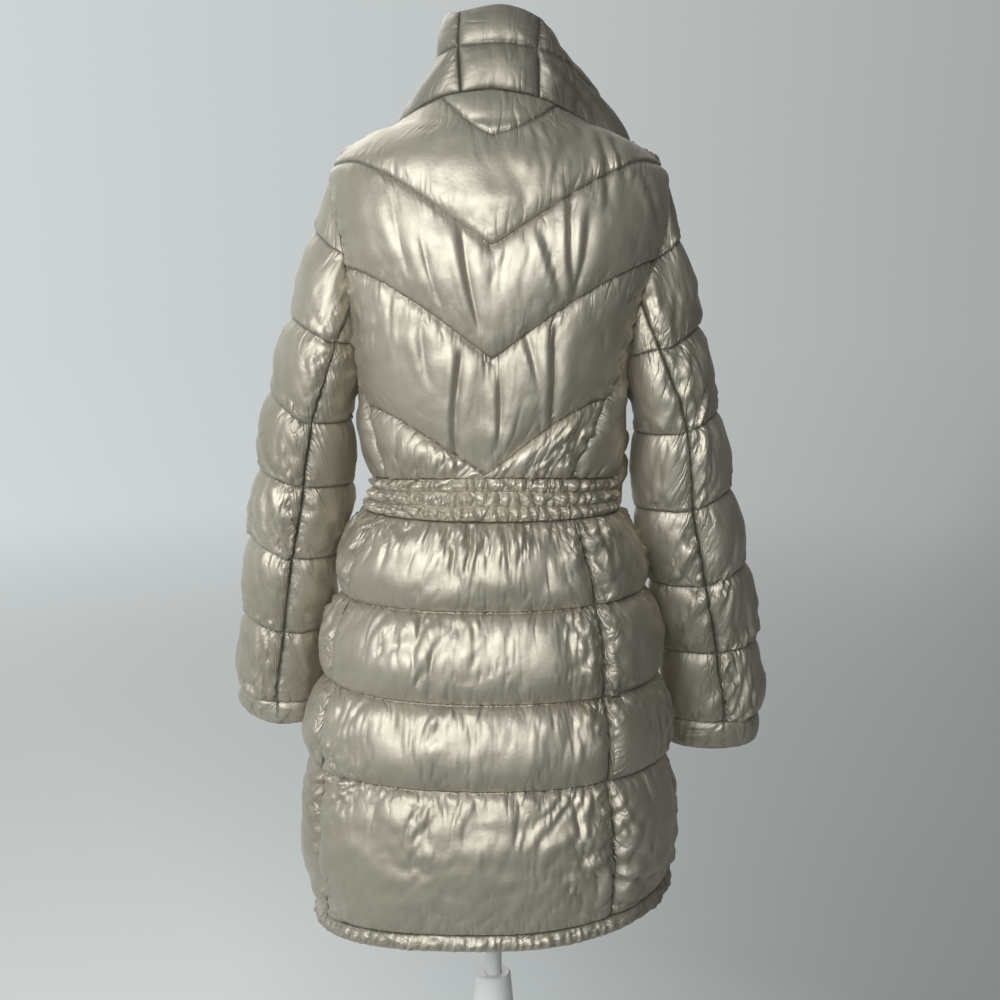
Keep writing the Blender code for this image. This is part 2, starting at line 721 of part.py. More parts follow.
# ---------------------------------------------------------------- sleeves and collar
def armhole_nodes(side):
    """Places around the armhole where the body's rows and columns end, from the elbow seam over
    the shoulder and under the arm, as angles around the sleeve."""
    ends = [CHEVRONS[side][i] for i in (0, 1, 2)]
    upper = np.linspace(ends[2], ends[1], 5)
    lower = np.linspace(ends[1], ends[0], 5)
    lower = lower[lower >= PRINCESS_TOP[side] - 1e-6]
    under = np.linspace(PRINCESS_TOP[side], ARMPIT, SIDE_COLUMNS + 1)
    back = np.concatenate([upper, lower[1:], under[1:]])
    side_lines = FRONT_LINES["side"]
    front = np.concatenate(
        [np.linspace(side_lines[i + 1], side_lines[i], 4)[:-1] for i in (3, 2, 1)]
    )
    front = np.concatenate([front[front > ARMPIT + 1e-6], [ARMPIT]])
    return around_armhole(back, False), around_armhole(front, True)


def sleeve_columns(side):
    """Columns of the outer and the under panel, as angles around the armhole."""
    back, front = armhole_nodes(side)
    elbow = int(np.argmin(np.abs(back - ELBOW_TOP)))
    turn = int(np.argmin(np.abs(front - (180 - ELBOW_TOP))))
    outer = np.concatenate([back[: elbow + 1][::-1], front[1 : turn + 1]])
    under = np.concatenate([front[turn:], (back[elbow:-1] + 360)[::-1]])
    return outer, under


def spread(side, columns, at, outer):
    """Angles of a row: the panel's two seams drift around the sleeve on the way down."""
    elbow = read(RINGS[side], "elbow", np.maximum(at, 1))
    elbow = columns_seam(columns, outer) * (1 - np.minimum(at, 1)) + elbow * np.minimum(at, 1)
    start, end = (elbow, 180 - elbow) if outer else (180 - elbow, 360 + elbow)
    share = (columns - columns[0]) / (columns[-1] - columns[0])
    fixed = start + (end - start) * share
    return np.where(at <= 0, columns, fixed + (columns - fixed) * np.maximum(0, 1 - at) ** 2)


def columns_seam(columns, outer):
    return columns[0] if outer else columns[-1] - 360


def sleeve_panel(side, outer):
    columns = sleeve_columns(side)[0 if outer else 1]
    lines = [np.zeros_like(columns)]
    for line, least in ((0, LEAST_STEP), (1, 2 * LEAST_STEP)):
        lines.append(np.maximum(head_share(side, line, columns), least))
    lines += [np.full_like(columns, at) for at in (1.0, 2.0, 3.0, 4.0, 5.0)]
    at, shares = rows_between(lines, (1, 2, 2, 3, 3, 3, 3))
    around = spread(side, columns, at, outer)
    points = sleeve(side, around, at)
    outward = sleeve_normal(side, around, at)
    inner = pull_in(points, CURVED_GAP)
    middle, half = (SHOULDER + ARMPIT) / 2, (SHOULDER - ARMPIT) / 2
    for j, angle in enumerate(columns):
        seam = side, middle + half * sin(radians(angle)), cos(radians(angle)) < -1e-9
        outward[0, j] = armhole_outward(*seam)
        inner[0, j] += armhole_parting(*seam)
    inward = -np.sin(np.radians(around))
    thick = lift(points, shares, PUFF_SLEEVE * (1 - 0.65 * np.maximum(0, inward)))
    beside_body = np.clip(0.4 + 1.3 * inward, 0, 1)
    thick *= 1 - 0.7 * beside_body * np.clip(1 - at / 0.4, 0, 1)
    name = ("sleeve_outer_" if outer else "sleeve_under_") + side
    return wall(name, inner, outward, thick, nylon(name, 0.95))


def cuff(side):
    outer, under = sleeve_columns(side)
    end = np.array([5.0])
    seam_angles = spread(side, outer, end, True), spread(side, under, end, False)
    around = np.concatenate([angles[:-1] for angles in seam_angles])
    at, shares = rows_between([np.full_like(around, 5), np.full_like(around, 6)], (2,))
    around = np.array([around] * len(at))
    points = sleeve(side, around, at)
    seam = points.copy()
    seam[0] += SEAM_GAP * unit(points[1] - points[0])
    thick = lift(points, shares, PUFF_CUFF, fade=False)
    thick[-1] = WALL
    name = "cuff_" + side
    outward = sleeve_normal(side, around, at)
    return wall(name, seam, outward, thick, nylon(name, 0.95), loop=True)


def collar_panel(name, angles):
    at, shares = rows_between([np.zeros_like(angles), np.ones_like(angles), 2.0 + 0 * angles], (3, 3))
    around = np.array([angles] * len(at))
    points = collar(around, at)
    outward = collar_normal(around, at)
    outward[0] = neck_outward(angles)
    thick = lift(points, shares, PUFF_COLLAR)
    return wall(name, pull_in(points), outward, thick, nylon(name))


def collars():
    """The collar's columns meet the neck seam where the body's columns do."""
    back = 90 * np.linspace(-1, 1, 17)
    edge = zip_angle("left", NECK["left"][-1])
    left_front = 90 + (edge - 90) * np.linspace(0, 1, FRONT_COLUMNS + 1)
    edge = zip_angle("right", NECK["right"][-1])
    right_front = -90 + (edge + 90) * np.linspace(0, 1, FRONT_COLUMNS + 1)
    right_seam, left_seam = 5, 10
    collar_panel("collar_back", back[right_seam : left_seam + 1])
    collar_panel("collar_left", np.concatenate([back[left_seam:], left_front[1:]]))
    collar_panel("collar_right", np.concatenate([right_front[:0:-1], back[: right_seam + 1]]))


# ---------------------------------------------------------------- zip
CHAIN_HALF, CHAIN_THICK = 0.0035, 0.0024
SLIDER_LENGTH, SLIDER_HALF_WIDTH, SLIDER_BASE, BRIDGE_OUT = 0.013, 0.0034, 0.0030, 0.0095
PIVOT_OUT, EYE_RADIUS, BAR_HALF = 0.0066, 0.0018, 0.0009
TAB_LENGTH, TAB_THICK, ARM_INNER, ARM_OUTER = 0.026, 0.0018, 0.0039, 0.0052
SLIDER_HEIGHT = ZIP_TOP + SEAM_GAP + SLIDER_LENGTH / 2


def zip_chain():
    heights = np.linspace(ZIP_BOTTOM, ZIP_TOP, 25)
    centre = read(TURN, "zip", heights)
    per_degree = np.linalg.norm(body(180.5, heights) - body(179.5, heights), axis=-1)
    spread_angle = CHAIN_HALF / per_degree
    angles = np.stack([centre + spread_angle * k for k in (1, 0, -1)], -1)
    rows = np.repeat(heights[:, None], 3, 1)
    normal = body_normal(angles, rows)
    points = body(angles, rows) + 0.0004 * normal
    metal = finish("zip_metal", (0.55, 0.52, 0.46, 1), 0.35, 1.0)
    return wall("zip_chain", points, normal, np.full(rows.shape, CHAIN_THICK), metal)


def slider_frame():
    """Origin on the lining at the zip's top, and the tilt of the front there about X."""
    origin = body(180.0, SLIDER_HEIGHT)
    normal = body_normal(180.0, SLIDER_HEIGHT)
    return origin, atan2(normal[2], -normal[1])


def tilted(mesh, name, material, out):
    """Places a mesh made upright and facing -Y on the sloping front, `out` above the lining."""
    origin, tilt = slider_frame()
    bmesh.ops.recalc_face_normals(mesh, faces=mesh.faces)
    if mesh.calc_volume(signed=True) < 0:
        bmesh.ops.reverse_faces(mesh, faces=mesh.faces)
    thing = finished(name, mesh, material)
    thing.rotation_euler = (-tilt, 0, 0)
    thing.location = origin + out * np.array([0, -cos(tilt), sin(tilt)])
    return thing


def plate(name, splines, thick):
    """A flat outline, with any holes, drawn in its own X and Y and given a thickness."""
    curve = bpy.data.curves.new(name, "CURVE")
    curve.dimensions = "2D"
    curve.fill_mode = "BOTH"
    curve.extrude = thick / 2
    for outline in splines:
        spline = curve.splines.new("POLY")
        spline.points.add(len(outline) - 1)
        for point, (x, y) in zip(spline.points, outline):
            point.co = (x, y, 0, 1)
        spline.use_cyclic_u = True
    holder = bpy.data.objects.new(name + "_outline", curve)
    bpy.context.scene.collection.objects.link(holder)
    bpy.context.view_layer.update()
    evaluated = holder.evaluated_get(bpy.context.evaluated_depsgraph_get())
    data = bpy.data.meshes.new_from_object(evaluated)
    bpy.data.objects.remove(holder)
    mesh = bmesh.new()
    mesh.from_mesh(data)
    bmesh.ops.remove_doubles(mesh, verts=mesh.verts, dist=1e-6)
    bpy.data.meshes.remove(data)
    return mesh


def arc(x, y, radius, start, end, steps):
    angles = np.radians(np.linspace(start, end, steps))
    return [(x + radius * cos(a), y + radius * sin(a)) for a in angles]


def zip_slider():
    """Side profile of the slider with the eye of its bridge, as wide as the chain."""
    half = SLIDER_LENGTH / 2
    outline = [(-half, 0.0004), (half, 0.0004), (half, SLIDER_BASE)]
    outline += arc(0, BRIDGE_OUT - 0.0045, 0.0045, 0, 180, 9)
    outline += [(-half, SLIDER_BASE)]
    eye = arc(0, PIVOT_OUT, EYE_RADIUS, 0, 330, 12)
    mesh = plate("zip_slider", (outline, eye), 2 * SLIDER_HALF_WIDTH)
    # profile X runs up the zip and profile Y away from the lining
    for vertex in mesh.verts:
        x, y, z = vertex.co
        vertex.co = (z, -y, x)
    metal = finish("slider_metal", (0.6, 0.57, 0.5, 1), 0.3, 1.0)
    return tilted(mesh, "zip_slider", metal, 0.0)


def zip_pull():
    """Tab with a cross bar through the slider's eye; its origin is on the bar's axis."""
    half = ARM_OUTER
    outline = [(half, BAR_HALF), (-half, BAR_HALF), (-half, -TAB_LENGTH + 0.003)]
    outline += [(-half + 0.002, -TAB_LENGTH), (half - 0.002, -TAB_LENGTH)]
    outline += [(half, -TAB_LENGTH + 0.003)]
    window = [(ARM_INNER, -BAR_HALF), (-ARM_INNER, -BAR_HALF), (-ARM_INNER, -0.0100)]
    window += [(ARM_INNER, -0.0100)]
    mesh = plate("zip_pull", (outline, window), TAB_THICK)
    # drawn face on; its thickness runs along Y
    for vertex in mesh.verts:
        x, y, z = vertex.co
        vertex.co = (x, z, y)
    metal = finish("pull_metal", (0.6, 0.57, 0.5, 1), 0.3, 1.0)
    return tilted(mesh, "zip_pull", metal, PIVOT_OUT)


# ---------------------------------------------------------------- dress form and stand
def form_torso():
    segments = 40
    around = np.radians(np.arange(segments) * 360 / segments)
    heights = np.concatenate(
        [np.linspace(FORM_BOTTOM, 1.34, 12), np.linspace(1.36, 1.43, 10), [1.45, NECK_TOP]]
    )
    rings = []
    for height in heights:
        wide, back, front = (read(FORM, key, height) for key in ("wide", "back", "front"))
        deep = np.where(np.cos(around) >= 0, back, front)
        out = rounded(np.sin(around), np.cos(around))
        x, y = wide * np.sin(around) * out, deep * np.cos(around) * out
        rings.append(np.stack([x, y, np.full(segments, height)], -1))
    mesh = bmesh.new()
    grid = [[mesh.verts.new(p) for p in row] for row in np.array(rings).tolist()]
    for low, high in zip(grid[:-1], grid[1:]):
        for j in range(segments):
            k = (j + 1) % segments
            mesh.faces.new((low[j], low[k], high[k], high[j]))
    mesh.faces.new(grid[0])
    mesh.faces.new(grid[-1])
    bmesh.ops.recalc_face_normals(mesh, faces=mesh.faces)
    return finished("form_torso", mesh, finish("form_cover", (0.78, 0.78, 0.77, 1), 0.75))


def turned(name, profile, material, centre_y=0.0, steps=40, inside_out=False):
    """A solid of revolution from a closed profile of radius and height."""
    data = bpy.data.meshes.new(name)
    points = [(radius, 0.0, height) for radius, height in profile]
    edges = [(i, (i + 1) % len(points)) for i in range(len(points))]
    if profile[0][0] == 0:
        edges.pop()
    data.from_pydata(points, edges, [])
    thing = placed(name, data, material)
    thing.location = (0, centre_y, 0)
    screw = thing.modifiers.new("turn", "SCREW")
    screw.steps = screw.render_steps = steps
    screw.use_merge_vertices = True
    screw.merge_threshold = 0.00005
    screw.use_normal_flip = inside_out
    return thing


def stand():
    white = finish("stand_enamel", (0.86, 0.86, 0.85, 1), 0.35)
    cap = finish("neck_cap_plastic", (0.80, 0.80, 0.79, 1), 0.4)
    seat = NECK_TOP + SEAM_GAP
    cap_profile = [(0, seat + 0.016), (0.020, seat + 0.0145), (0.036, seat + 0.009)]
    cap_profile += [(0.041, seat + 0.004), (0.041, seat), (0, seat)]
    turned("form_neck_cap", cap_profile, cap, centre_y=-0.009)
    flange = FORM_BOTTOM - SEAM_GAP
    pole_profile = [(0, flange), (0.034, flange), (0.034, flange - 0.004)]
    pole_profile += [(POLE_RADIUS, flange - 0.010), (POLE_RADIUS, 0.30), (0, 0.30)]
    turned("form_pole", pole_profile, white, steps=28)
    bore = POLE_RADIUS + SLIDE_GAP
    clamp = [(bore, CLAMP_TOP), (0.0185, CLAMP_TOP), (0.0205, CLAMP_TOP - 0.002)]
    clamp += [(0.0255, CLAMP_BOTTOM), (bore, CLAMP_BOTTOM)]
    turned("form_clamp", clamp, white)
    tube_top, tube_bottom = CLAMP_BOTTOM - SEAM_GAP, BOSS_TOP + SEAM_GAP
    tube = [(bore, tube_top), (TUBE_RADIUS, tube_top), (TUBE_RADIUS, tube_bottom)]
    tube += [(bore, tube_bottom)]
    turned("form_tube", tube, white, steps=28)
    base = [(0, BOSS_TOP), (BOSS_RADIUS - 0.004, BOSS_TOP), (BOSS_RADIUS, BOSS_TOP - 0.004)]
    base += [(BOSS_RADIUS, BASE_THICK + 0.004), (BOSS_RADIUS + 0.004, BASE_THICK)]
    base += [(BASE_RADIUS - 0.010, BASE_THICK - 0.003), (BASE_RADIUS - 0.003, BASE_THICK - 0.006)]
    base += [(BASE_RADIUS, BASE_THICK - 0.010), (BASE_RADIUS, 0), (0, 0)]
    turned("form_base", base, white, steps=48)


# ---------------------------------------------------------------- assembly
def main():
    for thing in list(bpy.data.objects):
        bpy.data.objects.remove(thing)
    bpy.context.scene.collection.children.link(bpy.data.collections.new(COLLECTION))
    back_bodice()
    waistband()
    skirt()
    hem_band()
    for side in ("left", "right"):
        side_bodice(side)
        front_panel(side)
        sleeve_panel(side, outer=True)
        sleeve_panel(side, outer=False)
        cuff(side)
    collars()
    zip_chain()
    zip_slider()
    zip_pull()
    form_torso()
    stand()


main()
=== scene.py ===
"""Looks of the long puffer coat on its dress form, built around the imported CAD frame.

Metres, +Z up. The coat's front faces -Y and its left side is +X. Angles around the body are in
degrees from the centre back (+Y), positive towards the coat's left side (+X).
"""

from math import cos, pi, radians, sin

import bmesh
import bpy
import numpy as np
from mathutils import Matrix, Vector


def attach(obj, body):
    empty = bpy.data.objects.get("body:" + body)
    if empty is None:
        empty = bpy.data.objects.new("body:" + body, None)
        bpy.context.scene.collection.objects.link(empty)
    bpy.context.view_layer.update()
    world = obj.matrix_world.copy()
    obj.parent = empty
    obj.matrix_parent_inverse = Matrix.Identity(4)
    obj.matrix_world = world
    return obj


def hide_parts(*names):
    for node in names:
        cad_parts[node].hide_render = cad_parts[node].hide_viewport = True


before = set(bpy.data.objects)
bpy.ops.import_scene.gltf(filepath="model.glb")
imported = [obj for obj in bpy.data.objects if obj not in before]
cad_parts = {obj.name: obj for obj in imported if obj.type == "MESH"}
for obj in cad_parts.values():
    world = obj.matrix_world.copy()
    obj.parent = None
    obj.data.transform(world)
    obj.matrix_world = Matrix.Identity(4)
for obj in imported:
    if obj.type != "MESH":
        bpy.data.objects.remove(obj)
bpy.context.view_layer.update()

# ---------------------------------------------------------------- driving sizes
SQUARENESS = 2.3  # exponent of the body sections
SHOULDER, ARMPIT = 1.372, 1.140
HOLE_MIDDLE, HOLE_HALF = (SHOULDER + ARMPIT) / 2, (SHOULDER - ARMPIT) / 2
ZIP_HALF, ZIP_BOTTOM, ZIP_TOP = 0.0042, 0.552, 1.320
GAP = 0.0004  # between pieces that are sewn together
EDGE = 0.0014  # shell above the lining at a stitch line
CHEVRON_CURVE = 1.1  # exponent of the chevrons' lines
ELBOW_TOP = -13.5  # where the elbow seam leaves the armhole, around the armhole
HEAD_BULGE, UNDERARM_BULGE = 0.012, 0.010  # of the sleeve above its first full ring
LEAST_STEP = 0.03  # a line that runs out into a seam stays this share of a ring below it
NEAR = 1e-6  # heights that are closer than this are the same
FAR = 1.0  # distance that stands for no seam nearby

# Cells of the cloth grids, around the coat and up each channel.
BACK_COLUMNS, SIDE_COLUMNS, FRONT_COLUMNS, BAND_COLUMNS = 208, 46, 104, 440
OUTER_COLUMNS, UNDER_COLUMNS, COLLAR_COLUMNS, COLLAR_BACK_COLUMNS = 88, 52, 70, 30
BACK_ROWS = (26, 36, 38, 30, 16)
BAND_ROWS = (14, 14, 14)
SKIRT_ROWS = (50, 30, 32, 30)
HEM_ROWS = (7,)
FRONT_ROWS = (34, 29, 27, 27, 22)
SLEEVE_ROWS = (16, 24, 24, 27, 27, 28, 28)
CUFF_ROWS = (9,)
COLLAR_ROWS = (16, 11)
ROW_CLOSING = 0.075  # how much closer the rows lie beside the stitch lines
LINING_STEP = 7  # cells of the shell to one of the lining
# Attributes of the shell that its material reads, see measures().
MEASURES = ("cloth_u", "cloth_v", "line_away", "seam_away")


def table(columns, *rows):
    """Rows of sizes as a dictionary of named columns. The first column rises."""
    return dict(zip(columns.split(), np.array(rows, float).T))


# Lining face of the coat at the stitch lines: half sizes of the section at each height.
BODY = table(
    "height left right back front",
    (0.500, 0.197, 0.197, 0.145, 0.158),
    (0.550, 0.198, 0.197, 0.146, 0.158),
    (0.660, 0.201, 0.194, 0.142, 0.153),
    (0.720, 0.200, 0.188, 0.139, 0.149),
    (0.810, 0.185, 0.180, 0.129, 0.141),
    (0.905, 0.165, 0.167, 0.116, 0.130),
    (1.000, 0.139, 0.138, 0.099, 0.113),
    (1.040, 0.128, 0.132, 0.094, 0.107),
    (1.080, 0.135, 0.135, 0.098, 0.114),
    (1.140, 0.143, 0.143, 0.106, 0.130),
    (1.200, 0.153, 0.156, 0.114, 0.137),
    (1.280, 0.166, 0.178, 0.120, 0.130),
    (1.330, 0.172, 0.187, 0.117, 0.116),
    (1.360, 0.172, 0.186, 0.111, 0.104),
    (1.375, 0.166, 0.176, 0.107, 0.097),
    (1.390, 0.150, 0.156, 0.101, 0.089),
    (1.402, 0.128, 0.133, 0.095, 0.081),
    (1.412, 0.103, 0.106, 0.089, 0.074),
    (1.425, 0.088, 0.088, 0.083, 0.066),
    (1.445, 0.078, 0.078, 0.074, 0.058),
)

# The coat hangs a little turned on the form: centre back, side seams and zip at each height.
TURN = table(
    "height centre side_left side_right zip",
    (0.500, 11.5, 101.0, 79.0, 191.0),
    (0.920, 11.5, 101.0, 79.0, 191.0),
    (1.002, 10.0, 99.5, 80.5, 189.5),
    (1.047, 8.0, 97.0, 83.0, 187.5),
    (1.100, 4.0, 92.5, 87.0, 183.5),
    (1.140, 1.5, 90.0, 90.0, 181.2),
    (1.190, 0.0, 90.0, 90.0, 180.0),
)

# Seams beside the centre back panels, up to where they run into the armholes.
PRINCESS = table(
    "height left right",
    (0.500, 64.0, 38.0),
    (0.600, 60.0, 38.0),
    (0.720, 61.0, 38.0),
    (0.810, 62.0, 38.0),
    (0.905, 65.0, 38.0),
    (1.000, 58.0, 36.0),
    (1.047, 56.0, 37.0),
    (1.075, 58.0, 42.0),
    (1.115, 64.0, 50.5),
    (1.140, 72.0, 57.0),
    (1.15625, 80.0, 60.0),
    (1.200, 90.0, 67.5),
)
PRINCESS_TOP = {"left": 1.15625, "right": 1.200}

ARMHOLE_BACK = table(
    "height left right",
    (1.140, 90.0, 90.0),
    (1.15625, 80.0, 76.0),
    (1.180, 74.5, 70.5),
    (1.200, 72.0, 67.5),
    (1.236, 68.5, 66.0),
    (1.265, 65.0, 68.0),
    (1.290, 64.0, 74.0),
    (1.318, 70.0, 78.0),
    (1.345, 76.0, 79.5),
    (1.360, 82.0, 83.5),
    (1.372, 90.0, 90.0),
)
ARMHOLE_FRONT = table(
    "height angle",
    (1.140, 90.0),
    (1.160, 97.0),
    (1.180, 103.0),
    (1.210, 110.0),
    (1.250, 115.0),
    (1.290, 115.0),
    (1.320, 110.0),
    (1.345, 103.0),
    (1.360, 97.0),
    (1.372, 90.0),
)

NECK = table(
    "angle left right",
    (0, 1.443, 1.443),
    (30, 1.438, 1.436),
    (60, 1.426, 1.420),
    (90, 1.412, 1.395),
    (120, 1.408, 1.391),
    (150, 1.388, 1.378),
    (180, 1.345, 1.345),
)

# Heights of the level stitch lines at the back, the two sides and the front.
LEVELS = {
    "band_top": (1.047, 1.038, 1.038, 1.038),
    "band_bottom": (0.9995, 1.002, 1.002, 1.002),
    "first": (0.907, 0.908, 0.915, 0.905),
    "second": (0.811, 0.815, 0.817, 0.810),
    "third": (0.7205, 0.721, 0.728, 0.720),
    "hem_top": (0.5655, 0.549, 0.590, 0.566),
    "hem_bottom": (0.5465, 0.529, 0.570, 0.546),
}
SKIRT_LINES = ("hem_top", "third", "second", "first", "band_bottom")

# Chevrons of the back: height at the centre and at both ends, and how early the line levels out.
CHEVRONS = table(
    "centre left right reach",
    (1.0500, 1.120, 1.128, 1.00),
    (1.1710, 1.265, 1.272, 1.00),
    (1.2840, SHOULDER, SHOULDER, 0.65),
)
# Top chevron: height at the centre, rise per degree to the left and to the right.
YOKE = (1.394, 0.00116, 0.00074)
YOKE_BELOW_NECK = 0.0016
BAND_TOP = LEVELS["band_top"][1]

# Stitch lines of the upper fronts: height at the side and at the zip.
FRONT_LINES = table(
    "side zip",
    (1.002, 1.002),
    (1.110, 1.105),
    (1.200, 1.180),
    (1.290, 1.240),
    (SHOULDER, 1.295),
)

# Sleeve rings from the first full ring down to the end of the cuff: outermost and innermost point
# of the lining, fore and aft place, half depth, and where the elbow seam lies around the ring.
RINGS = {
    "left": table(
        "ring outer outer_z inner inner_z y deep elbow",
        (1, 0.243, 1.135, 0.160, 1.100, -0.005, 0.054, -9.5),
        (2, 0.259, 1.047, 0.161, 1.029, -0.015, 0.050, -3.5),
        (3, 0.274, 0.969, 0.181, 0.946, -0.030, 0.047, -4.0),
        (4, 0.286, 0.875, 0.196, 0.857, -0.048, 0.044, -3.0),
        (5, 0.298, 0.782, 0.208, 0.770, -0.064, 0.040, 0.0),
        (6, 0.297, 0.752, 0.209, 0.740, -0.070, 0.038, 0.0),
    ),
    "right": table(
        "ring outer outer_z inner inner_z y deep elbow",
        (1, 0.246, 1.112, 0.160, 1.088, -0.005, 0.054, 9.0),
        (2, 0.265, 1.025, 0.164, 1.002, -0.015, 0.050, 6.0),
        (3, 0.287, 0.937, 0.183, 0.915, -0.030, 0.047, 3.0),
        (4, 0.305, 0.843, 0.199, 0.833, -0.048, 0.044, 4.0),
        (5, 0.313, 0.749, 0.209, 0.746, -0.064, 0.040, 10.0),
        (6, 0.313, 0.712, 0.210, 0.710, -0.070, 0.038, 10.0),
    ),
}
# Two stitch lines of the sleeve head: height at the seam and at the outer side.
HEAD_LINES = {
    "left": ((1.267, 1.308), (1.185, 1.216)),
    "right": ((1.268, 1.298), (1.173, 1.206)),
}

# Collar above the neck seam: its stitch line and its top edge. It falls open to the right.
COLLAR = table(
    "angle x y z top_x top_y top_z",
    (-180, -0.026, -0.129, 1.368, -0.046, -0.152, 1.398),
    (-150, -0.098, -0.108, 1.400, -0.100, -0.128, 1.434),
    (-120, -0.126, -0.055, 1.422, -0.108, -0.075, 1.456),
    (-90, -0.116, -0.005, 1.442, -0.088, -0.025, 1.474),
    (-60, -0.086, 0.036, 1.466, -0.066, 0.015, 1.498),
    (-34, -0.047, 0.062, 1.485, -0.049, 0.047, 1.518),
    (0, -0.002, 0.068, 1.490, -0.006, 0.056, 1.530),
    (22, 0.034, 0.064, 1.487, 0.032, 0.050, 1.524),
    (60, 0.053, 0.035, 1.482, 0.047, 0.010, 1.530),
    (90, 0.054, -0.005, 1.480, 0.049, -0.035, 1.530),
    (120, 0.060, -0.050, 1.466, 0.055, -0.080, 1.520),
    (150, 0.058, -0.098, 1.440, 0.054, -0.118, 1.492),
    (180, 0.020, -0.132, 1.386, 0.030, -0.151, 1.436),
)

# Long folds of the upper back: x and height of their top, x of their middle, x and height of their
# end, width and depth.
BACK_FOLDS = (
    (0.032, 1.307, 0.024, 0.012, 1.200, 0.0060, 0.0042),
    (-0.044, 1.303, -0.056, -0.065, 1.236, 0.0050, 0.0034),
    (-0.079, 1.345, -0.076, -0.078, 1.236, 0.0048, 0.0046),
    (-0.107, 1.400, -0.113, -0.112, 1.322, 0.0052, 0.0040),
    (-0.119, 1.400, -0.127, -0.134, 1.348, 0.0045, 0.0036),
    (-0.147, 1.362, -0.158, -0.166, 1.300, 0.0048, 0.0036),
    (-0.062, 1.215, -0.060, -0.058, 1.080, 0.0055, 0.0048),
    (0.030, 1.182, 0.035, 0.038, 1.110, 0.0055, 0.0042),
    (-0.006, 1.155, -0.008, -0.005, 1.085, 0.0050, 0.0036),
    (0.038, 1.130, 0.038, 0.036, 1.050, 0.0050, 0.0036),
    (-0.093, 1.322, -0.088, -0.074, 1.220, 0.0060, 0.0030),
    (0.073, 1.210, 0.069, 0.062, 1.145, 0.0055, 0.0026),
    (-0.032, 1.205, -0.038, -0.045, 1.150, 0.0050, 0.0030),
    (0.100, 1.345, 0.092, 0.080, 1.255, 0.0080, 0.0020),
    (0.070, 1.300, 0.062, 0.050, 1.225, 0.0070, 0.0022),
)

# Long folds of the collar where it turns down over the shoulders, in the same order.
COLLAR_FOLDS = (
    (0.046, 1.486, 0.062, 0.088, 1.446, 0.0045, 0.0030),
    (0.058, 1.468, 0.076, 0.096, 1.432, 0.0040, 0.0026),
    (-0.058, 1.500, -0.086, -0.112, 1.436, 0.0045, 0.0032),
    (-0.052, 1.476, -0.076, -0.104, 1.428, 0.0040, 0.0028),
    (-0.070, 1.462, -0.090, -0.114, 1.416, 0.0036, 0.0022),
)

# Gathers of the shell: fold spacing, reach into the channel, depth and stretch along the fold.
GATHERS = (
    (0.0075, 0.011, 0.00080, 2.0),
    (0.0140, 0.028, 0.00240, 2.6),
    (0.0260, 0.054, 0.00560, 2.6),
)
# Finer ones, in the bump: spacing, stretch along the fold, reach and depth.
FINE_GATHERS = ((0.0046, 3.0, 0.0085, 0.00060), (0.0100, 3.4, 0.0240, 0.00150))

# How a panel is padded and gathered, where FILLING doesn't say otherwise.
USUAL = dict(
    share=0.30,  # most height of the down, as a share of its channel's height
    roundness=0.68,  # exponent of a channel's section
    sag=0.3, drop=0.06,  # how low the down lies in its channel, and how far it sinks as it rises
    seams=(0.0, 0.0), fade=0.020,  # down left at the first and last column, and its run-out there
    top=1.0, bottom=0.5, side_gather=2.0,  # gathers below and above stitch lines, and at the sides
    ends=(0.0, 0.0), reach=0.05,  # depth and reach of long gathers at the lowest and highest line
    dents=1.0, crease=1.0, fine=1.0,  # soft dents, all folds of the shell, and folds in the bump
    slack=0.006,  # how much longer the shell is cut than it lies
    ripple=0.0005, wobble=0.0003,  # pucker of a stitch line outwards and upwards
    beads=0.0, bead_depth=1.0,  # pitch and depth of short gathers along a narrow channel
    folds=(),
)
FILLING = {
    "back_bodice": dict(
        puff=0.0090, sag=0.4, ends=(0.0045, 0.0), reach=0.050, share=0.17, top=0.50, bottom=0.35,
        dents=0.45, folds=BACK_FOLDS, seams=(0.3, 0.3),
    ),
    "side_bodice": dict(
        puff=0.010, ends=(0.0035, 0.0), reach=0.040, top=0.6, side_gather=0.8, seams=(0.3, 0.3)
    ),
    "waistband": dict(
        puff=0.0088, roundness=0.52, share=0.80, side_gather=0.0, fade=0.010, beads=0.0140,
        crease=0.0, ripple=0.0010, wobble=0.0010, fine=0.6,
    ),
    "skirt": dict(
        puff=0.018, ends=(0.0, 0.0060), reach=0.055, share=0.20, drop=0.12, top=1.15,
        side_gather=1.8, seams=(0.35, 0.35),
    ),
    "hem_band": dict(
        puff=0.0085, share=0.6, side_gather=0.0, fade=0.010, beads=0.012, bead_depth=0.55,
        crease=0.7, fine=0.6,
    ),
    "skirt_front": dict(
        puff=0.017, share=0.20, drop=0.12, top=1.1, seams=(0.35, 0.0), side_gather=1.4
    ),
    "front": dict(puff=0.014, share=0.2, seams=(0.3, 0.0), side_gather=1.2),
    "sleeve": dict(
        puff=0.0072, share=0.22, sag=0.9, drop=0.16, top=1.1, bottom=0.6, side_gather=1.8,
        seams=(0.3, 0.3),
    ),
    "cuff": dict(puff=0.0055, share=0.5, beads=0.016, bead_depth=0.35, crease=0.5, fine=0.6),
    "collar": dict(
        puff=0.0042, share=0.2, dents=0.3, top=0.25, bottom=0.35, side_gather=0.35, fine=0.6,
        folds=COLLAR_FOLDS,
    ),
}
LEAST_CHANNEL, FULL_CHANNEL = 0.012, 0.050  # heights with no gathers and with gathers in full
FOLD_STRENGTH = 1.5
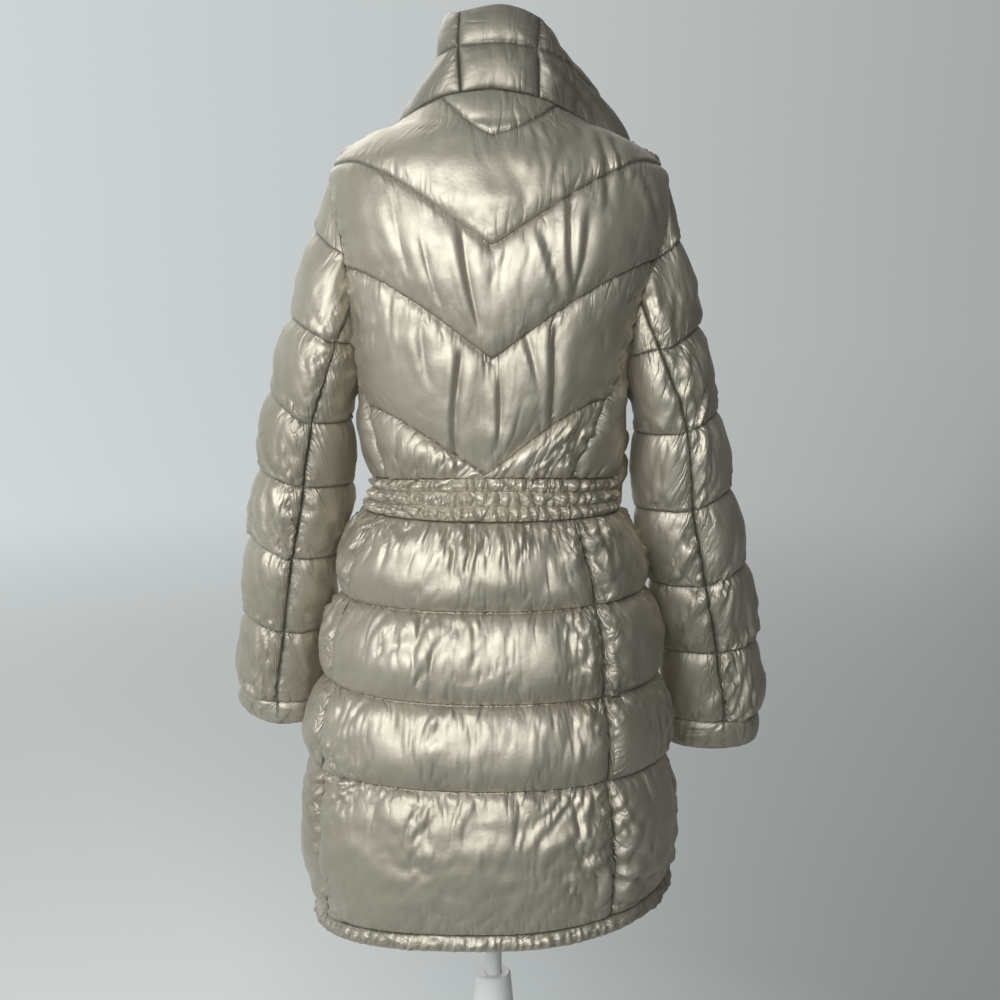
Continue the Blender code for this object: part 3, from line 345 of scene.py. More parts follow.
# Waves that shift the gathers sideways, and soft dents: size, length along and across the cloth.
WARPS = ((0.010, 0.050, 0.040), (0.0032, 0.016, 0.022))
DENT, SMALL_DENT = (0.0017, 0.044, 0.030), (0.0004, 0.014, 0.018)
CREASE_DEPTH, CREASE_WIDTH = 0.0012, 0.07
FREE_FROM, FREE_OVER = 0.003, 0.055  # distance from the armhole where the down starts and is full
# Lowest bead, and how near a seam a full bead counts for the shade painted into the bead valleys.
BEAD_FLOOR, BEAD_PAINTED_SHADE_REACH = 0.12, 0.0068  # lowest bead, and how far from a seam a full bead looks

# The cloth solver: steps, push of the down and fall of the cloth in one step, stiffness of the
# threads and the diagonals, and cells spanned by each bending link with its stiffness.
STEPS = 24
PRESSURE, WEIGHT = 0.000014, 0.00002
STRETCH, SHEAR, BENDS = 0.9, 0.28, ((2, 0.12), (4, 0.03))
SLACK_WAVE, RIPPLE_WAVE, WOBBLE_WAVE = (30, 30), (3, 3.2), (2, 4.5)  # in cells
SINK_SHARE = 0.35  # of the shell's height over a stitch line, the deepest that a crease sinks
CLEAR = 0.0005  # of a free point above the lining's EDGE
CEILING_SHARE, CEILING_MORE = 1.12, 0.0022  # highest that a point swells, from where it starts

STITCH_PITCH, STITCH_LENGTH, STITCH_RADIUS = 0.0034, 0.0026, 0.00036
STITCH_SUNK, STITCH_RAISED = 0.0002, 0.00025  # its ends and its middle
TAPE_WIDTH, TAPE_THICK, TAPE_INNER, TAPE_BEHIND = 0.0120, 0.0004, 0.0007, 0.0003
TOOTH_PITCH, TOOTH_HIGH, TOOTH_BEVEL = 0.0024, 0.00125, 0.0003
TOOTH_REACH, TOOTH_ROOT, TOOTH_BACK, TOOTH_OUT, TOOTH_SLOPE = 0.0009, 0.0023, 0.0004, 0.0023, 0.0006
ZIP_MARGIN = 0.0015

# Painted light and shade, panel by panel: the light falls a little differently into each panel's
# down, and its colour is scaled darker or lighter to stand for that.
PAINTED_LIGHT_BY_PANEL = {
    "collar_left": 0.70, "collar_back": 0.72, "collar_right": 0.70, "side_bodice_right": 0.96,
    "sleeve_under_left": 0.98, "sleeve_under_right": 0.97, "skirt_side_right": 0.98,
    "waistband": 1.32,
}
NYLON_LIGHT, NYLON_DARK = (0.570, 0.522, 0.430), (0.472, 0.428, 0.343)
# Painted shade in the stitch lines and seams: its colour, its greatest share, and how far it
# reaches.
NYLON_PAINTED_SHADE, PAINTED_SHADE_SHARE = (0.10, 0.088, 0.066), 0.60  # in stitch lines and seams
LINE_PAINTED_SHADE_REACH, SEAM_PAINTED_SHADE_REACH = 0.0026, 0.0030  # how far that reaches
NYLON_ROUGH, NYLON_METALLIC = (0.47, 0.55), 0.74
# The thread's colour: its own, and darker as painted shade at the bottom of the stitch lines.
THREAD_AND_GROOVE_SHADE, TAPE = (0.26, 0.235, 0.185), (0.33, 0.30, 0.24)
ZIP, SLIDER = (0.62, 0.58, 0.50), (0.66, 0.62, 0.54)
COVER, WHITE = (0.80, 0.80, 0.79), (0.86, 0.86, 0.85)

# Stops from the coat's right side to its left: the room, and the floor's painted shade, darker
# where the room is dim.
ROOM_SIDES = (
    (0.0, (0.06, 0.06, 0.057)), (0.18, (0.15, 0.153, 0.149)), (0.31, (0.37, 0.39, 0.385)),
    (0.5, (0.52, 0.55, 0.55)), (0.75, (0.66, 0.71, 0.715)), (1.0, (0.66, 0.70, 0.705)),
)
FLOOR_PAINTED_SHADE_SIDES = (
    (0.0, (0.28, 0.285, 0.28)), (0.25, (0.52, 0.54, 0.54)), (0.5, (0.74, 0.78, 0.78)),
    (0.75, (0.90, 0.92, 0.92)), (1.0, (0.90, 0.92, 0.92)),
)
# Soft boxes beside the camera: name, place, target, size and power.
SOFTBOXES = (
    ("key", (0.75, 2.02, 1.80), (0, 0, 0.95), (2.3, 0.90), 37),
    ("window", (0.65, 1.95, 1.32), (0, 0, 0.70), (2.0, 0.45), 7),
)
DAYLIGHT, SUNLIGHT = (0.955, 0.985, 1.0), (1.0, 0.99, 0.97)
SUN_WAY, SUN_POWER, SUN_SPREAD = (-0.35, 1.0, -0.9), 1.25, 50
CAMERA_PLACE, CAMERA_TILT, CAMERA_LENS = (-0.0079, 1.4453, 1.2126), 8.0, 46.8
# From where to where a direction's part dims the room or paints shade on the floor, and from what
# share to what.
ROOM_BEHIND, ROOM_OVERHEAD = (-0.3, 0.8, 1.0, 0.34), (0.25, 0.8, 1.0, 0.5)
FLOOR_PAINTED_SHADE_BEHIND = (-0.5, 0.8, 1.0, 0.28)
# Far away the floor glows with the room's colour, a painted light.
FLOOR_FADE = (2.0, 7.5)  # distances between which the floor turns into the room
FLOOR_RADIUS, FLOOR_CORNERS, FLOOR_BELOW = 40, 60, 0.0005
NOISE_SPAN = (0.3, 0.7)  # where nearly all of a noise's values lie


# ---------------------------------------------------------------- small mathematics
def read(source, column, at):
    """A column of a table between its rows, smooth and without overshoot."""
    xs, ys = source[next(iter(source))], source[column]
    at = np.clip(np.asarray(at, float), xs[0], xs[-1])
    rise = np.diff(ys) / np.diff(xs)
    both = rise[:-1] + rise[1:]
    same = rise[:-1] * rise[1:] > 0
    slopes = np.zeros(len(ys))
    slopes[1:-1] = np.where(same, 2 * rise[:-1] * rise[1:] / np.where(same, both, 1), 0)
    slopes[0], slopes[-1] = rise[0], rise[-1]
    i = np.clip(np.searchsorted(xs, at, side="right") - 1, 0, len(xs) - 2)
    step = xs[i + 1] - xs[i]
    t = (at - xs[i]) / step
    start = (1 + 2 * t) * (1 - t) ** 2 * ys[i] + t * (1 - t) ** 2 * step * slopes[i]
    end = t * t * (3 - 2 * t) * ys[i + 1] - t * t * (1 - t) * step * slopes[i + 1]
    return start + end


def unit(vectors):
    return vectors / np.linalg.norm(vectors, axis=-1, keepdims=True)


def rounded(sine, cosine):
    """Pushes an ellipse's sine and cosine out to the squarer body section."""
    power = np.abs(sine) ** SQUARENESS + np.abs(cosine) ** SQUARENESS
    return power ** (-1 / SQUARENESS)


def lengths(points, axis):
    """Length of cloth from a grid's first row (axis 0) or column (axis 1) to each point."""
    steps = np.linalg.norm(np.diff(points, axis=axis), axis=-1)
    start = np.zeros_like(steps.take([0], axis))
    return np.concatenate([start, np.cumsum(steps, axis)], axis)


def beside(walk, loop):
    """Length of cloth from each point to the nearer side of its panel. A loop has no sides."""
    return np.full(walk.shape, FAR) if loop else np.minimum(walk, walk[:, -1:] - walk)


# ---------------------------------------------------------------- surfaces
def body(angle, height):
    """Lining of the coat's body at an angle and a height."""
    angle, height = np.broadcast_arrays(np.radians(angle), np.asarray(height, float))
    sine, cosine = np.sin(angle), np.cos(angle)
    wide = np.where(sine >= 0, read(BODY, "left", height), read(BODY, "right", height))
    deep = np.where(cosine >= 0, read(BODY, "back", height), read(BODY, "front", height))
    out = rounded(sine, cosine)
    return np.stack([wide * sine * out, deep * cosine * out, height], -1)


def body_normal(angle, height):
    across = body(angle + 0.5, height) - body(angle - 0.5, height)
    up = body(angle, height + 0.001) - body(angle, height - 0.001)
    return unit(np.cross(up, across))


def level(name, angle):
    """Height of a level stitch line around the body."""
    back, left, right, front = LEVELS[name]
    angle = np.radians(angle)
    ends = np.where(np.cos(angle) >= 0, back, front)
    sides = np.where(np.sin(angle) >= 0, left, right)
    return ends * np.cos(angle) ** 2 + sides * np.sin(angle) ** 2


def neck_height(angle):
    away = np.abs(angle)
    return np.where(np.asarray(angle) >= 0, read(NECK, "left", away), read(NECK, "right", away))


def neck_outward(angle):
    """Wall direction shared by the body and the collar along the neck seam."""
    height = neck_height(angle)
    flat = body(angle, height) * (1, 1, 0)
    return unit(body_normal(angle, height) + unit(flat))


def sign(side):
    return 1 if side == "left" else -1


def armhole_angle(side, height, front):
    column = read(ARMHOLE_FRONT, "angle", height) if front else read(ARMHOLE_BACK, side, height)
    return sign(side) * column


def armhole(side, height, front):
    return body(armhole_angle(side, height, front), height)


def armhole_outward(side, height, front):
    """Wall direction shared by the body and the sleeve along the armhole seam."""
    angle = armhole_angle(side, height, front)
    middle = (armhole(side, SHOULDER, False) + armhole(side, ARMPIT, False)) / 2
    away = unit(body(angle, height) - middle)
    around = around_armhole(height, front)
    return unit(body_normal(angle, height) + sleeve_normal(side, around, 0.05) + 0.3 * away)


def around_armhole(height, front):
    """A height on the armhole seam as an angle around the sleeve."""
    share = (np.asarray(height) - HOLE_MIDDLE) / HOLE_HALF
    around = np.degrees(np.arcsin(np.clip(share, -1, 1)))
    return 180 - around if front else around


def ring(side, around, at):
    """Lining of the sleeve from the first full ring down. around: 0 back, 90 outer, 180 front."""
    sine, cosine = np.sin(np.radians(around)), np.cos(np.radians(around))
    rows = RINGS[side]
    inner, outer = read(rows, "inner", at), read(rows, "outer", at)
    inner_z, outer_z = read(rows, "inner_z", at), read(rows, "outer_z", at)
    x = inner + (outer - inner) * (1 + sine) / 2
    y = read(rows, "y", at) + read(rows, "deep", at) * cosine * rounded(sine, cosine)
    z = inner_z + (outer_z - inner_z) * np.maximum(0, sine) ** 1.2
    return np.stack([sign(side) * x, y, z], -1)


def sleeve(side, around, at):
    """Lining of the whole sleeve: at 0 is the armhole, 1 the first full ring, 6 the cuff's end."""
    around, at = np.broadcast_arrays(np.asarray(around, float), np.asarray(at, float))
    sine, cosine = np.sin(np.radians(around)), np.cos(np.radians(around))
    height = HOLE_MIDDLE + HOLE_HALF * sine
    front = (cosine < 0)[..., None]
    start = np.where(front, armhole(side, height, True), armhole(side, height, False))
    share = np.clip(at, 0, 1)[..., None]
    swell = np.sin(np.pi * share)
    bulge = np.stack(
        [sign(side) * UNDERARM_BULGE * np.maximum(0, -sine), HEAD_BULGE * cosine, 0 * sine], -1
    )
    head = start + (ring(side, around, 1.0) - start) * share + bulge * swell
    return np.where(at[..., None] > 1, ring(side, around, np.maximum(at, 1)), head)


def sleeve_normal(side, around, at):
    about = sleeve(side, around + 1, at) - sleeve(side, around - 1, at)
    down = sleeve(side, around, at + 0.01) - sleeve(side, around, np.maximum(at - 0.01, 0))
    return unit(np.cross(about, down)) * sign(side)


def armhole_parting(side, height, front):
    """A share of a seam gap across the armhole seam, towards the sleeve."""
    around = around_armhole(height, front)
    along = sleeve(side, around + 2, 0) - sleeve(side, around - 2, 0)
    across = unit(np.cross(armhole_outward(side, height, front), along))
    onward = sleeve(side, around, 0.1) - sleeve(side, around, 0)
    towards = np.sign((across * onward).sum(-1, keepdims=True))
    return across * towards * GAP * 0.7


def head_share(side, line, around):
    """Where a stitch line of the sleeve head lies between the armhole and the first full ring."""
    seam_z, outer_z = HEAD_LINES[side][line]
    sine = np.sin(np.radians(around))
    height = seam_z + (outer_z - seam_z) * np.maximum(0, sine)
    start = HOLE_MIDDLE + HOLE_HALF * sine
    end = ring(side, around, 1.0)[..., 2]
    return np.clip((start - height) / (start - end), 0, 1)


def collar(angle, at):
    """Lining of the collar: at 0 is the neck seam, 1 its stitch line and 2 its top edge."""
    angle, at = np.broadcast_arrays(np.asarray(angle, float), np.asarray(at, float))
    base = body(angle, neck_height(angle))
    middle = np.stack([read(COLLAR, name, angle) for name in ("x", "y", "z")], -1)
    top = np.stack([read(COLLAR, name, angle) for name in ("top_x", "top_y", "top_z")], -1)
    t = at[..., None]
    return np.where(t < 1, base + (middle - base) * t, middle + (top - middle) * (t - 1))


def collar_normal(angle, at):
    across = collar(angle + 1, at) - collar(angle - 1, at)
    up = collar(angle, np.minimum(at + 0.05, 2)) - collar(angle, np.maximum(at - 0.05, 0))
    return unit(np.cross(up, across))


def pull_in(points, gap=GAP):
    """Draws the four edges of a grid in by half a seam gap each."""
    points = points.copy()
    half = gap / 2
    points[0] += half * unit(points[1] - points[0])
    points[-1] += half * unit(points[-2] - points[-1])
    points[:, 0] += half * unit(points[:, 1] - points[:, 0])
    points[:, -1] += half * unit(points[:, -2] - points[:, -1])
    return points


# ---------------------------------------------------------------- grids
def rows_between(lines, counts):
    """Rows of a grid between stitch lines, with each row's share of its channel's height."""
    rows, shares = [lines[0]], [0.0]
    for low, high, count in zip(lines[:-1], lines[1:], counts):
        for step in range(1, count + 1):
            share = step / count
            if step < count:
                share -= ROW_CLOSING * sin(2 * pi * share)
            rows.append(low + (high - low) * share)
            shares.append(share)
    return np.array(rows), np.array(shares)


def back_edge(side, height):
    seam = read(PRINCESS, side, height)
    hole = read(ARMHOLE_BACK, side, height)
    return sign(side) * np.where(np.asarray(height) >= PRINCESS_TOP[side], hole, seam)


def back_angles(height_left, height_right):
    across = np.linspace(-1, 1, BACK_COLUMNS + 1)
    left, right = back_edge("left", height_left), back_edge("right", height_right)
    centre = read(TURN, "centre", (height_left + height_right) / 2)
    return np.where(
        across >= 0, centre + (left - centre) * across, centre + (centre - right) * across
    )


def side_angles(side, height):
    seam, edge = read(PRINCESS, side, height), read(TURN, "side_" + side, height)
    return sign(side) * (seam + (edge - seam) * np.linspace(0, 1, SIDE_COLUMNS + 1))


def whole_back(height):
    right, left = side_angles("right", height), side_angles("left", height)
    return np.concatenate([right[:0:-1], back_angles(height, height), left[1:]])


def at_zip(height):
    """The zip's angle, and the length of a degree there."""
    degree = np.linalg.norm(body(180.5, height) - body(179.5, height), axis=-1)
    return read(TURN, "zip", height), degree


def zip_angle(side, height):
    centre, degree = at_zip(height)
    inset = ZIP_HALF / degree
    return centre - inset if side == "left" else centre - 360 + inset


def front_angles(side, height_side, height_zip):
    seam = read(TURN, "side_" + side, height_side)
    hole = read(ARMHOLE_FRONT, "angle", height_side)
    start = sign(side) * (hole if height_side > ARMPIT else seam)
    end = zip_angle(side, height_zip)
    return start + (end - start) * np.linspace(0, 1, FRONT_COLUMNS + 1)


def level_rows(names, counts, angles_at):
    nominal, shares = rows_between([LEVELS[name][1] for name in names], counts)
    lines = [level(name, angles_at(LEVELS[name][1])) for name in names]
    heights, _ = rows_between(lines, counts)
    angles = np.array([angles_at(height) for height in nominal])
    return angles, heights, shares


def bend(across, reach):
    return np.sin(np.pi / 2 * np.minimum(np.abs(across) / reach, 1)) ** CHEVRON_CURVE


# ---------------------------------------------------------------- padded cloth
def smooth_noise(rng, shape, wave):
    """Seeded noise from -1 to 1 with waves of about `wave` cells each way."""
    cells = [max(2, int(np.ceil(n / w)) + 2) for n, w in zip(shape, wave)]
    values = rng.uniform(-1, 1, cells)
    for axis, (n, w) in enumerate(zip(shape, wave)):
        at = np.arange(n) / w + rng.uniform(0, 1) * min(1, cells[axis] - 1 - (n - 1) / w)
        low = np.minimum(at.astype(int), cells[axis] - 2)
        t = at - low
        t = t * t * (3 - 2 * t)
        first, second = np.take(values, low, axis), np.take(values, low + 1, axis)
        t = t[:, None] if axis == 0 else t[None, :]
        values = first + (second - first) * t
    return values


def armhole_distance(points):
    nearest = np.full(points.shape[:2], 1.0)
    for side in ("left", "right"):
        for front in (True, False):
            seam = armhole(side, np.linspace(ARMPIT, SHOULDER, 25), front)
            for point in seam:
                nearest = np.minimum(nearest, np.linalg.norm(points - point, axis=-1))
    return nearest


class Cloth:
    """One padded panel: a grid of lining points, its outward directions and its stitch lines."""

    def __init__(self, kind, name, seed, inner, outward, shares, fill=1.0, level=1.0, loop=False):
        vars(self).update(USUAL, **FILLING[kind])
        self.name, self.seed, self.loop = name, seed, loop
        self.inner, self.outward, self.shares = inner, outward, shares
        self.puff, self.level = self.puff * fill, level
        self.stops = [row for row, share in enumerate(shares) if share % 1.0 == 0.0]
        self.channels = list(zip(self.stops[:-1], self.stops[1:]))

    def draped(self):
        """The lining with the long folds that run on over the stitch lines."""
        points = self.inner.copy()
        x, z = points[..., 0], points[..., 2]
        for top_x, top_z, mid_x, end_x, end_z, wide, deep in self.folds:
            t = (top_z - z) / (top_z - end_z)
            at = np.clip(t, 0, 1)
            bow = mid_x - (top_x + end_x) / 2
            centre = top_x + (end_x - top_x) * at + 4 * bow * at * (1 - at)
            shape = np.where((t > 0) & (t < 1), np.sin(np.pi * at**0.8) ** 0.7, 0)
            off = (x - centre) / (wide * (1.1 - 0.4 * at))
            groove = np.exp(-np.abs(off / np.where(off > 0, 0.45, 1.25)) ** 1.5)
            near, far = (off - 1.5) / 0.9, (off + 2.2) / 1.5
            groove -= 0.65 * np.exp(-(near**2)) + 0.3 * np.exp(-(far**2))
            points -= self.outward * (deep * shape * groove)[..., None]
        return points

    def beaded(self):
        """Short gathers side by side along a narrow channel, uneven and offset row by row."""
        rng = np.random.default_rng(self.seed)
        u, v, wave = lengths(self.inner, 1), lengths(self.inner, 0), self.beads
        beads = np.ones_like(u)
        for low, high in self.channels:
            inside = slice(low, high + 1)
            here, lane = u[inside], v[inside]
            cells = np.ones_like(here)
            for way, width in ((1, wave), (-1, 1.35 * wave)):
                lean = way * (0.30 + 0.35 * wandering(rng, here, lane, 0.030, 1.0))
                drift = 0.9 * wave * wandering(rng, here, lane, 1.9 * wave, 0.1)
                turn = (here + lean * (lane - v[low]) + drift) / width + rng.uniform(0, 1)
                cells = np.minimum(cells, np.abs(np.sin(pi * turn)) ** 0.85)
            small = tongues(rng, here, lane, 0.38 * wave, 1.8)
            size = 0.90 + 0.45 * wandering(rng, here, lane, 2.4 * wave, 0.1)
            beads[inside] = (BEAD_FLOOR + 0.85 * cells + 0.22 * small) * size
        return beads

    def lofted(self):
        """The shell pushed out by the down, before it creases."""
        run, walk = lengths(self.inner, 0), lengths(self.inner, 1)
        height = np.zeros(run.shape)
        for low, high in self.channels:
            height[low : high + 1] = run[high] - run[low]
        s = self.shares % 1.0
        hump = np.sin(np.pi * s ** (1 - 0.18 * self.sag)) ** self.roundness * self.level
        rise = np.minimum(self.puff, self.share * height) * hump[:, None]
        sides = np.clip(beside(walk, self.loop) / self.fade, 0, 1)
        first, last = self.seams
        columns = rise.shape[1]
        least = np.where(np.arange(columns) < columns // 2, first, last)
        rise = rise * (least + (1 - least) * np.sin(np.pi / 2 * sides) ** 0.75)
        if self.beads:
            rise = rise * (1 - self.bead_depth * (1 - self.beaded()))
        free = np.clip((armhole_distance(self.inner) - FREE_FROM) / FREE_OVER, 0, 1)
        rise = rise * np.sin(np.pi / 2 * free)
        sunk = np.array([0, 0, -self.drop])
        return self.draped() + self.outward * (EDGE + rise)[..., None] + sunk * rise[..., None]


def wandering(rng, u, v, wave_u, wave_v):
    """Seeded gradient noise, about -1 to 1, at any place of the cloth."""
    x, y = u / wave_u, v / wave_v
    x, y = x - x.min(), y - y.min()
    i, j = x.astype(int), y.astype(int)
    turn = rng.uniform(0, 2 * pi, (i.max() + 2, j.max() + 2))
    x, y = x - i, y - j
    smooth_x, smooth_y = (t * t * t * (t * (6 * t - 15) + 10) for t in (x, y))
    total = np.zeros_like(x)
    for di, share_x in ((0, 1 - smooth_x), (1, smooth_x)):
        for dj, share_y in ((0, 1 - smooth_y), (1, smooth_y)):
            angle = turn[i + di, j + dj]
            total += share_x * share_y * (np.cos(angle) * (x - di) + np.sin(angle) * (y - dj))
    return 1.5 * total


def tongues(rng, u, v, wave, stretch):
    """Rounded folds between narrow valleys, from 0 in a valley to 1 on a fold."""
    return np.minimum(1, 1.9 * np.abs(wandering(rng, u, v, wave, stretch * wave))) ** 0.7


def gathered(rng, u, away, strength, first=0):
    """Gathers that start at a seam or stitch line and run out into the channel."""
    height = np.zeros_like(u)
    leans = [way * 0.45 + 0.65 * wandering(rng, u, away, 0.045, 0.2) for way in (-1, 1)]
    for wave, reach, deep, stretch in GATHERS[first:]:
        group = 0.50 + 0.95 * wandering(rng, u, 0 * away, 4.5 * wave + 0.02, 1.0)
        group = np.clip(group, 0.06, 1.5)
        fade = np.exp(-((away / (reach * (0.45 + group))) ** 2))
        fade = fade * np.minimum(1, away / (0.30 * wave))
        fold = sum(
            share * tongues(rng, u + lean * away, away, wave, stretch)
            for lean, share in zip(leans, (0.62, 0.38))
        )
        height += deep * group * fade * (fold - 0.55)
    return strength * height


def creases(rng, cloth, points):
    """How far gathers, creases and soft dents lift or sink the shell."""
    u, v = lengths(points, 1), lengths(points, 0)
    sides, middle = beside(u, cloth.loop), u.shape[1] // 2
    u = u - u[:, middle, None]
    warped = u
    for size, *waves in WARPS:
        warped = warped + size * wandering(rng, u, v, *waves)
    field = np.zeros(u.shape)
    for low, high in cloth.channels:
        inside = slice(low, high + 1)
        here, lane = warped[inside], v[inside]
        up, down = lane - v[low], v[high] - lane
        tall = float(np.median(up[-1]))
        if tall < LEAST_CHANNEL:
            continue
        scale = min(1.0, tall / FULL_CHANNEL)
        made = gathered(rng, here / scale, down / scale, cloth.top * scale)
        made += gathered(rng, here / scale, up / scale, cloth.bottom * scale)
        # long gathers next to the shirred waistband
        ends = (low == cloth.stops[0], up), (high == cloth.stops[-1], down)
        for gather, (at_end, away) in zip(cloth.ends, ends):
            if gather and at_end:
                pull = wandering(rng, here, 0 * away, 0.045, 1.0)
                fade = np.exp(-((away / (cloth.reach * (0.75 + 0.45 * pull))) ** 2))
                fade = fade * np.minimum(1, away / 0.002)
                folds = tongues(rng, here + 0.35 * pull * away, away, 0.0190, 3.0)
                folds = folds + 0.4 * tongues(rng, here, away, 0.0090, 2.6)
                made += gather * fade * (folds - 0.60) * (1 + 0.4 * pull)
        # soft dents and thin creases across the middle
        open_ = np.minimum(1, np.minimum(up, down) / (0.22 * tall))
        dents = DENT[0] * wandering(rng, here, lane, *DENT[1:])
        dents += SMALL_DENT[0] * wandering(rng, here + 0.4 * lane, lane, *SMALL_DENT[1:])
        crossing = wandering(rng, here + 0.5 * lane, lane, 0.040, 0.030)
        patches = np.clip(wandering(rng, here, lane, 0.05, 0.04) * 2, 0, 1)
        line = np.exp(-((crossing / CREASE_WIDTH) ** 2)) * patches
        made += open_ * cloth.dents * (dents - CREASE_DEPTH * line)
        field[inside] += made
    if not cloth.loop and cloth.side_gather:
        lane = v + 0.006 * wandering(rng, u, v, 0.04, 0.05)
        for half in (slice(0, middle), slice(middle, None)):
            near = 1.15 * lane[:, half], 1.5 * sides[:, half]
            field[:, half] += gathered(rng, *near, cloth.side_gather, 1)
    field[cloth.stops] = 0
    return FOLD_STRENGTH * field * cloth.crease


def cloth_links(rng, start, slack):
    """Links of the shell: two slices of its grid, the rest length between them, the stiffness and
    whether it only pushes apart. The threads come first, each set in two that share no point."""
    down, across = np.diff(start, axis=0), np.diff(start, axis=1)
    tall, wide = (np.linalg.norm(step, axis=-1) for step in (down, across))
    rest_wide = wide * (1 + slack * (1 + smooth_noise(rng, wide.shape, SLACK_WAVE)))
    rest_tall = tall * (1 + slack * (1 + smooth_noise(rng, tall.shape, SLACK_WAVE)))
    more_tall, more_wide = rest_tall / tall, rest_wide / wide

    def diagonal(columns, way):
        a, b, more_a, more_b = down[:, columns], across[:-1], more_tall[:, columns], more_wide[:-1]
        mixed = (a * b).sum(-1) * more_a * more_b * 2 * way
        square = ((a**2).sum(-1) * more_a**2) + ((b**2).sum(-1) * more_b**2) + mixed
        return np.sqrt(np.maximum(square, 1e-10))

    s = np.s_
    links = [
        *((s[:, k:-1:2], s[:, k + 1 :: 2], rest_wide[:, k::2], STRETCH, False) for k in (0, 1)),
        *((s[k:-1:2, :], s[k + 1 :: 2, :], rest_tall[k::2], STRETCH, False) for k in (0, 1)),
        (s[:-1, :-1], s[1:, 1:], diagonal(s[:-1], 1), SHEAR, False),
        (s[1:, :-1], s[:-1, 1:], diagonal(s[1:], -1), SHEAR, False),
    ]
    for k, stiff in BENDS:
        for a, b in ((s[:, :-k], s[:, k:]), (s[:-k, :], s[k:, :])):
            links.append((a, b, np.linalg.norm(start[b] - start[a], axis=-1), stiff, True))
    return links


def planes(points):
    """The three coordinates of a grid as planes of single precision."""
    return np.ascontiguousarray(np.moveaxis(points, -1, 0)).astype(np.float32)


def shell_normals(x, out):
    """Unit normals of a grid given as planes, on the side of `out`."""
    slopes = []
    for axis in (1, 2):
        slope = np.zeros_like(x)
        values, changes = np.moveaxis(x, axis, 0), np.moveaxis(slope, axis, 0)
        changes[1:-1] = values[2:] - values[:-2]
        changes[0], changes[-1] = values[1] - values[0], values[-1] - values[-2]
        slopes.append(slope)
    normals = np.cross(slopes[1], slopes[0], axis=0)
    normals /= np.sqrt((normals * normals).sum(0)) + 1e-9
    normals *= np.sign((normals * out).sum(0).mean())
    return normals


def filled(cloth):
    """The finished shell, by position-based cloth: it is longer than the lining, and the down's
    pressure swells it between its stitch lines. Beaded channels keep the shape they were given."""
    rng = np.random.default_rng(cloth.seed)
    smooth = cloth.lofted()
    made = creases(rng, cloth, smooth)
    lift = ((smooth - cloth.inner) * cloth.outward).sum(-1)
    made = np.maximum(made, SINK_SHARE * (EDGE - lift))
    start = smooth + cloth.outward * made[..., None]
    links = cloth_links(rng, start, cloth.slack)
    pinned = np.zeros(lift.shape, bool)
    pinned[cloth.stops] = True
    if not cloth.loop:
        pinned[:, 0] = pinned[:, -1] = True
    free = np.where(pinned, 0.0, 1.0).astype(np.float32)
    x, out, base = planes(start), planes(cloth.outward), planes(cloth.inner)
    fold = ((planes(cloth.draped()) - base) * out).sum(0)
    floor = fold + np.where(pinned, 0.0, EDGE + CLEAR).astype(np.float32)
    ceiling = ((x - base) * out).sum(0) * CEILING_SHARE + CEILING_MORE
    # stitch lines are puckered themselves
    ripple = smooth_noise(rng, lift.shape, RIPPLE_WAVE).astype(np.float32)
    x += out * ripple * np.where(pinned, cloth.ripple, 0.0).astype(np.float32)
    wobble = smooth_noise(rng, lift.shape, WOBBLE_WAVE).astype(np.float32)
    x[2, 1:-1] += (wobble * np.float32(cloth.wobble) * pinned)[1:-1]
    weighted = []
    for a, b, rest, stiff, push_only in links:
        total = np.maximum(free[a] + free[b], 1e-6)
        shares = stiff * free[a] / total, stiff * free[b] / total
        a, b = (slice(None), *a), (slice(None), *b)
        weighted.append((a, b, rest.astype(np.float32), *shares, push_only))
    previous = x.copy()
    fall = np.array([0, 0, -1], np.float32)[:, None, None] * WEIGHT * cloth.sag
    steps = 0 if cloth.beads else STEPS
    for step in range(steps):
        if step % 4 == 0:
            normals = shell_normals(x, out)
        calm = 0.90 if step < steps * 0.75 else 0.75
        moved = (x - previous) * calm
        previous = x.copy()
        x += (moved + normals * PRESSURE + fall) * free
        for a, b, rest, share_a, share_b, push_only in weighted + weighted[:4]:
            gap = x[b] - x[a]
            length = np.sqrt((gap * gap).sum(0)) + 1e-9
            share = (length - rest) / length
            if push_only:
                share = np.minimum(share, 0)
            x[a] += gap * (share * share_a)
            x[b] -= gap * (share * share_b)
        if cloth.loop:
            both = (x[:, :, 0] + x[:, :, -1]) / 2
            x[:, :, 0] = x[:, :, -1] = both
        depth = ((x - base) * out).sum(0)
        x += out * (np.maximum(0, floor - depth) - 0.3 * np.maximum(0, depth - ceiling))
    return np.moveaxis(x, 0, -1).astype(float)


def coarse(count):
    """The grid lines that the lining shares with the shell."""
    picked = max(2, (count - 1) // LINING_STEP + 1)
    return np.unique(np.round(np.linspace(0, count - 1, picked)).astype(int))


def between(values, picks):
    """Points on the straight edges between picked grid points, as many as the fine edge has."""
    fine = np.arange(picks[0], picks[-1] + 1)
    return np.stack([np.interp(fine, picks, values[picks, k]) for k in range(3)], -1)


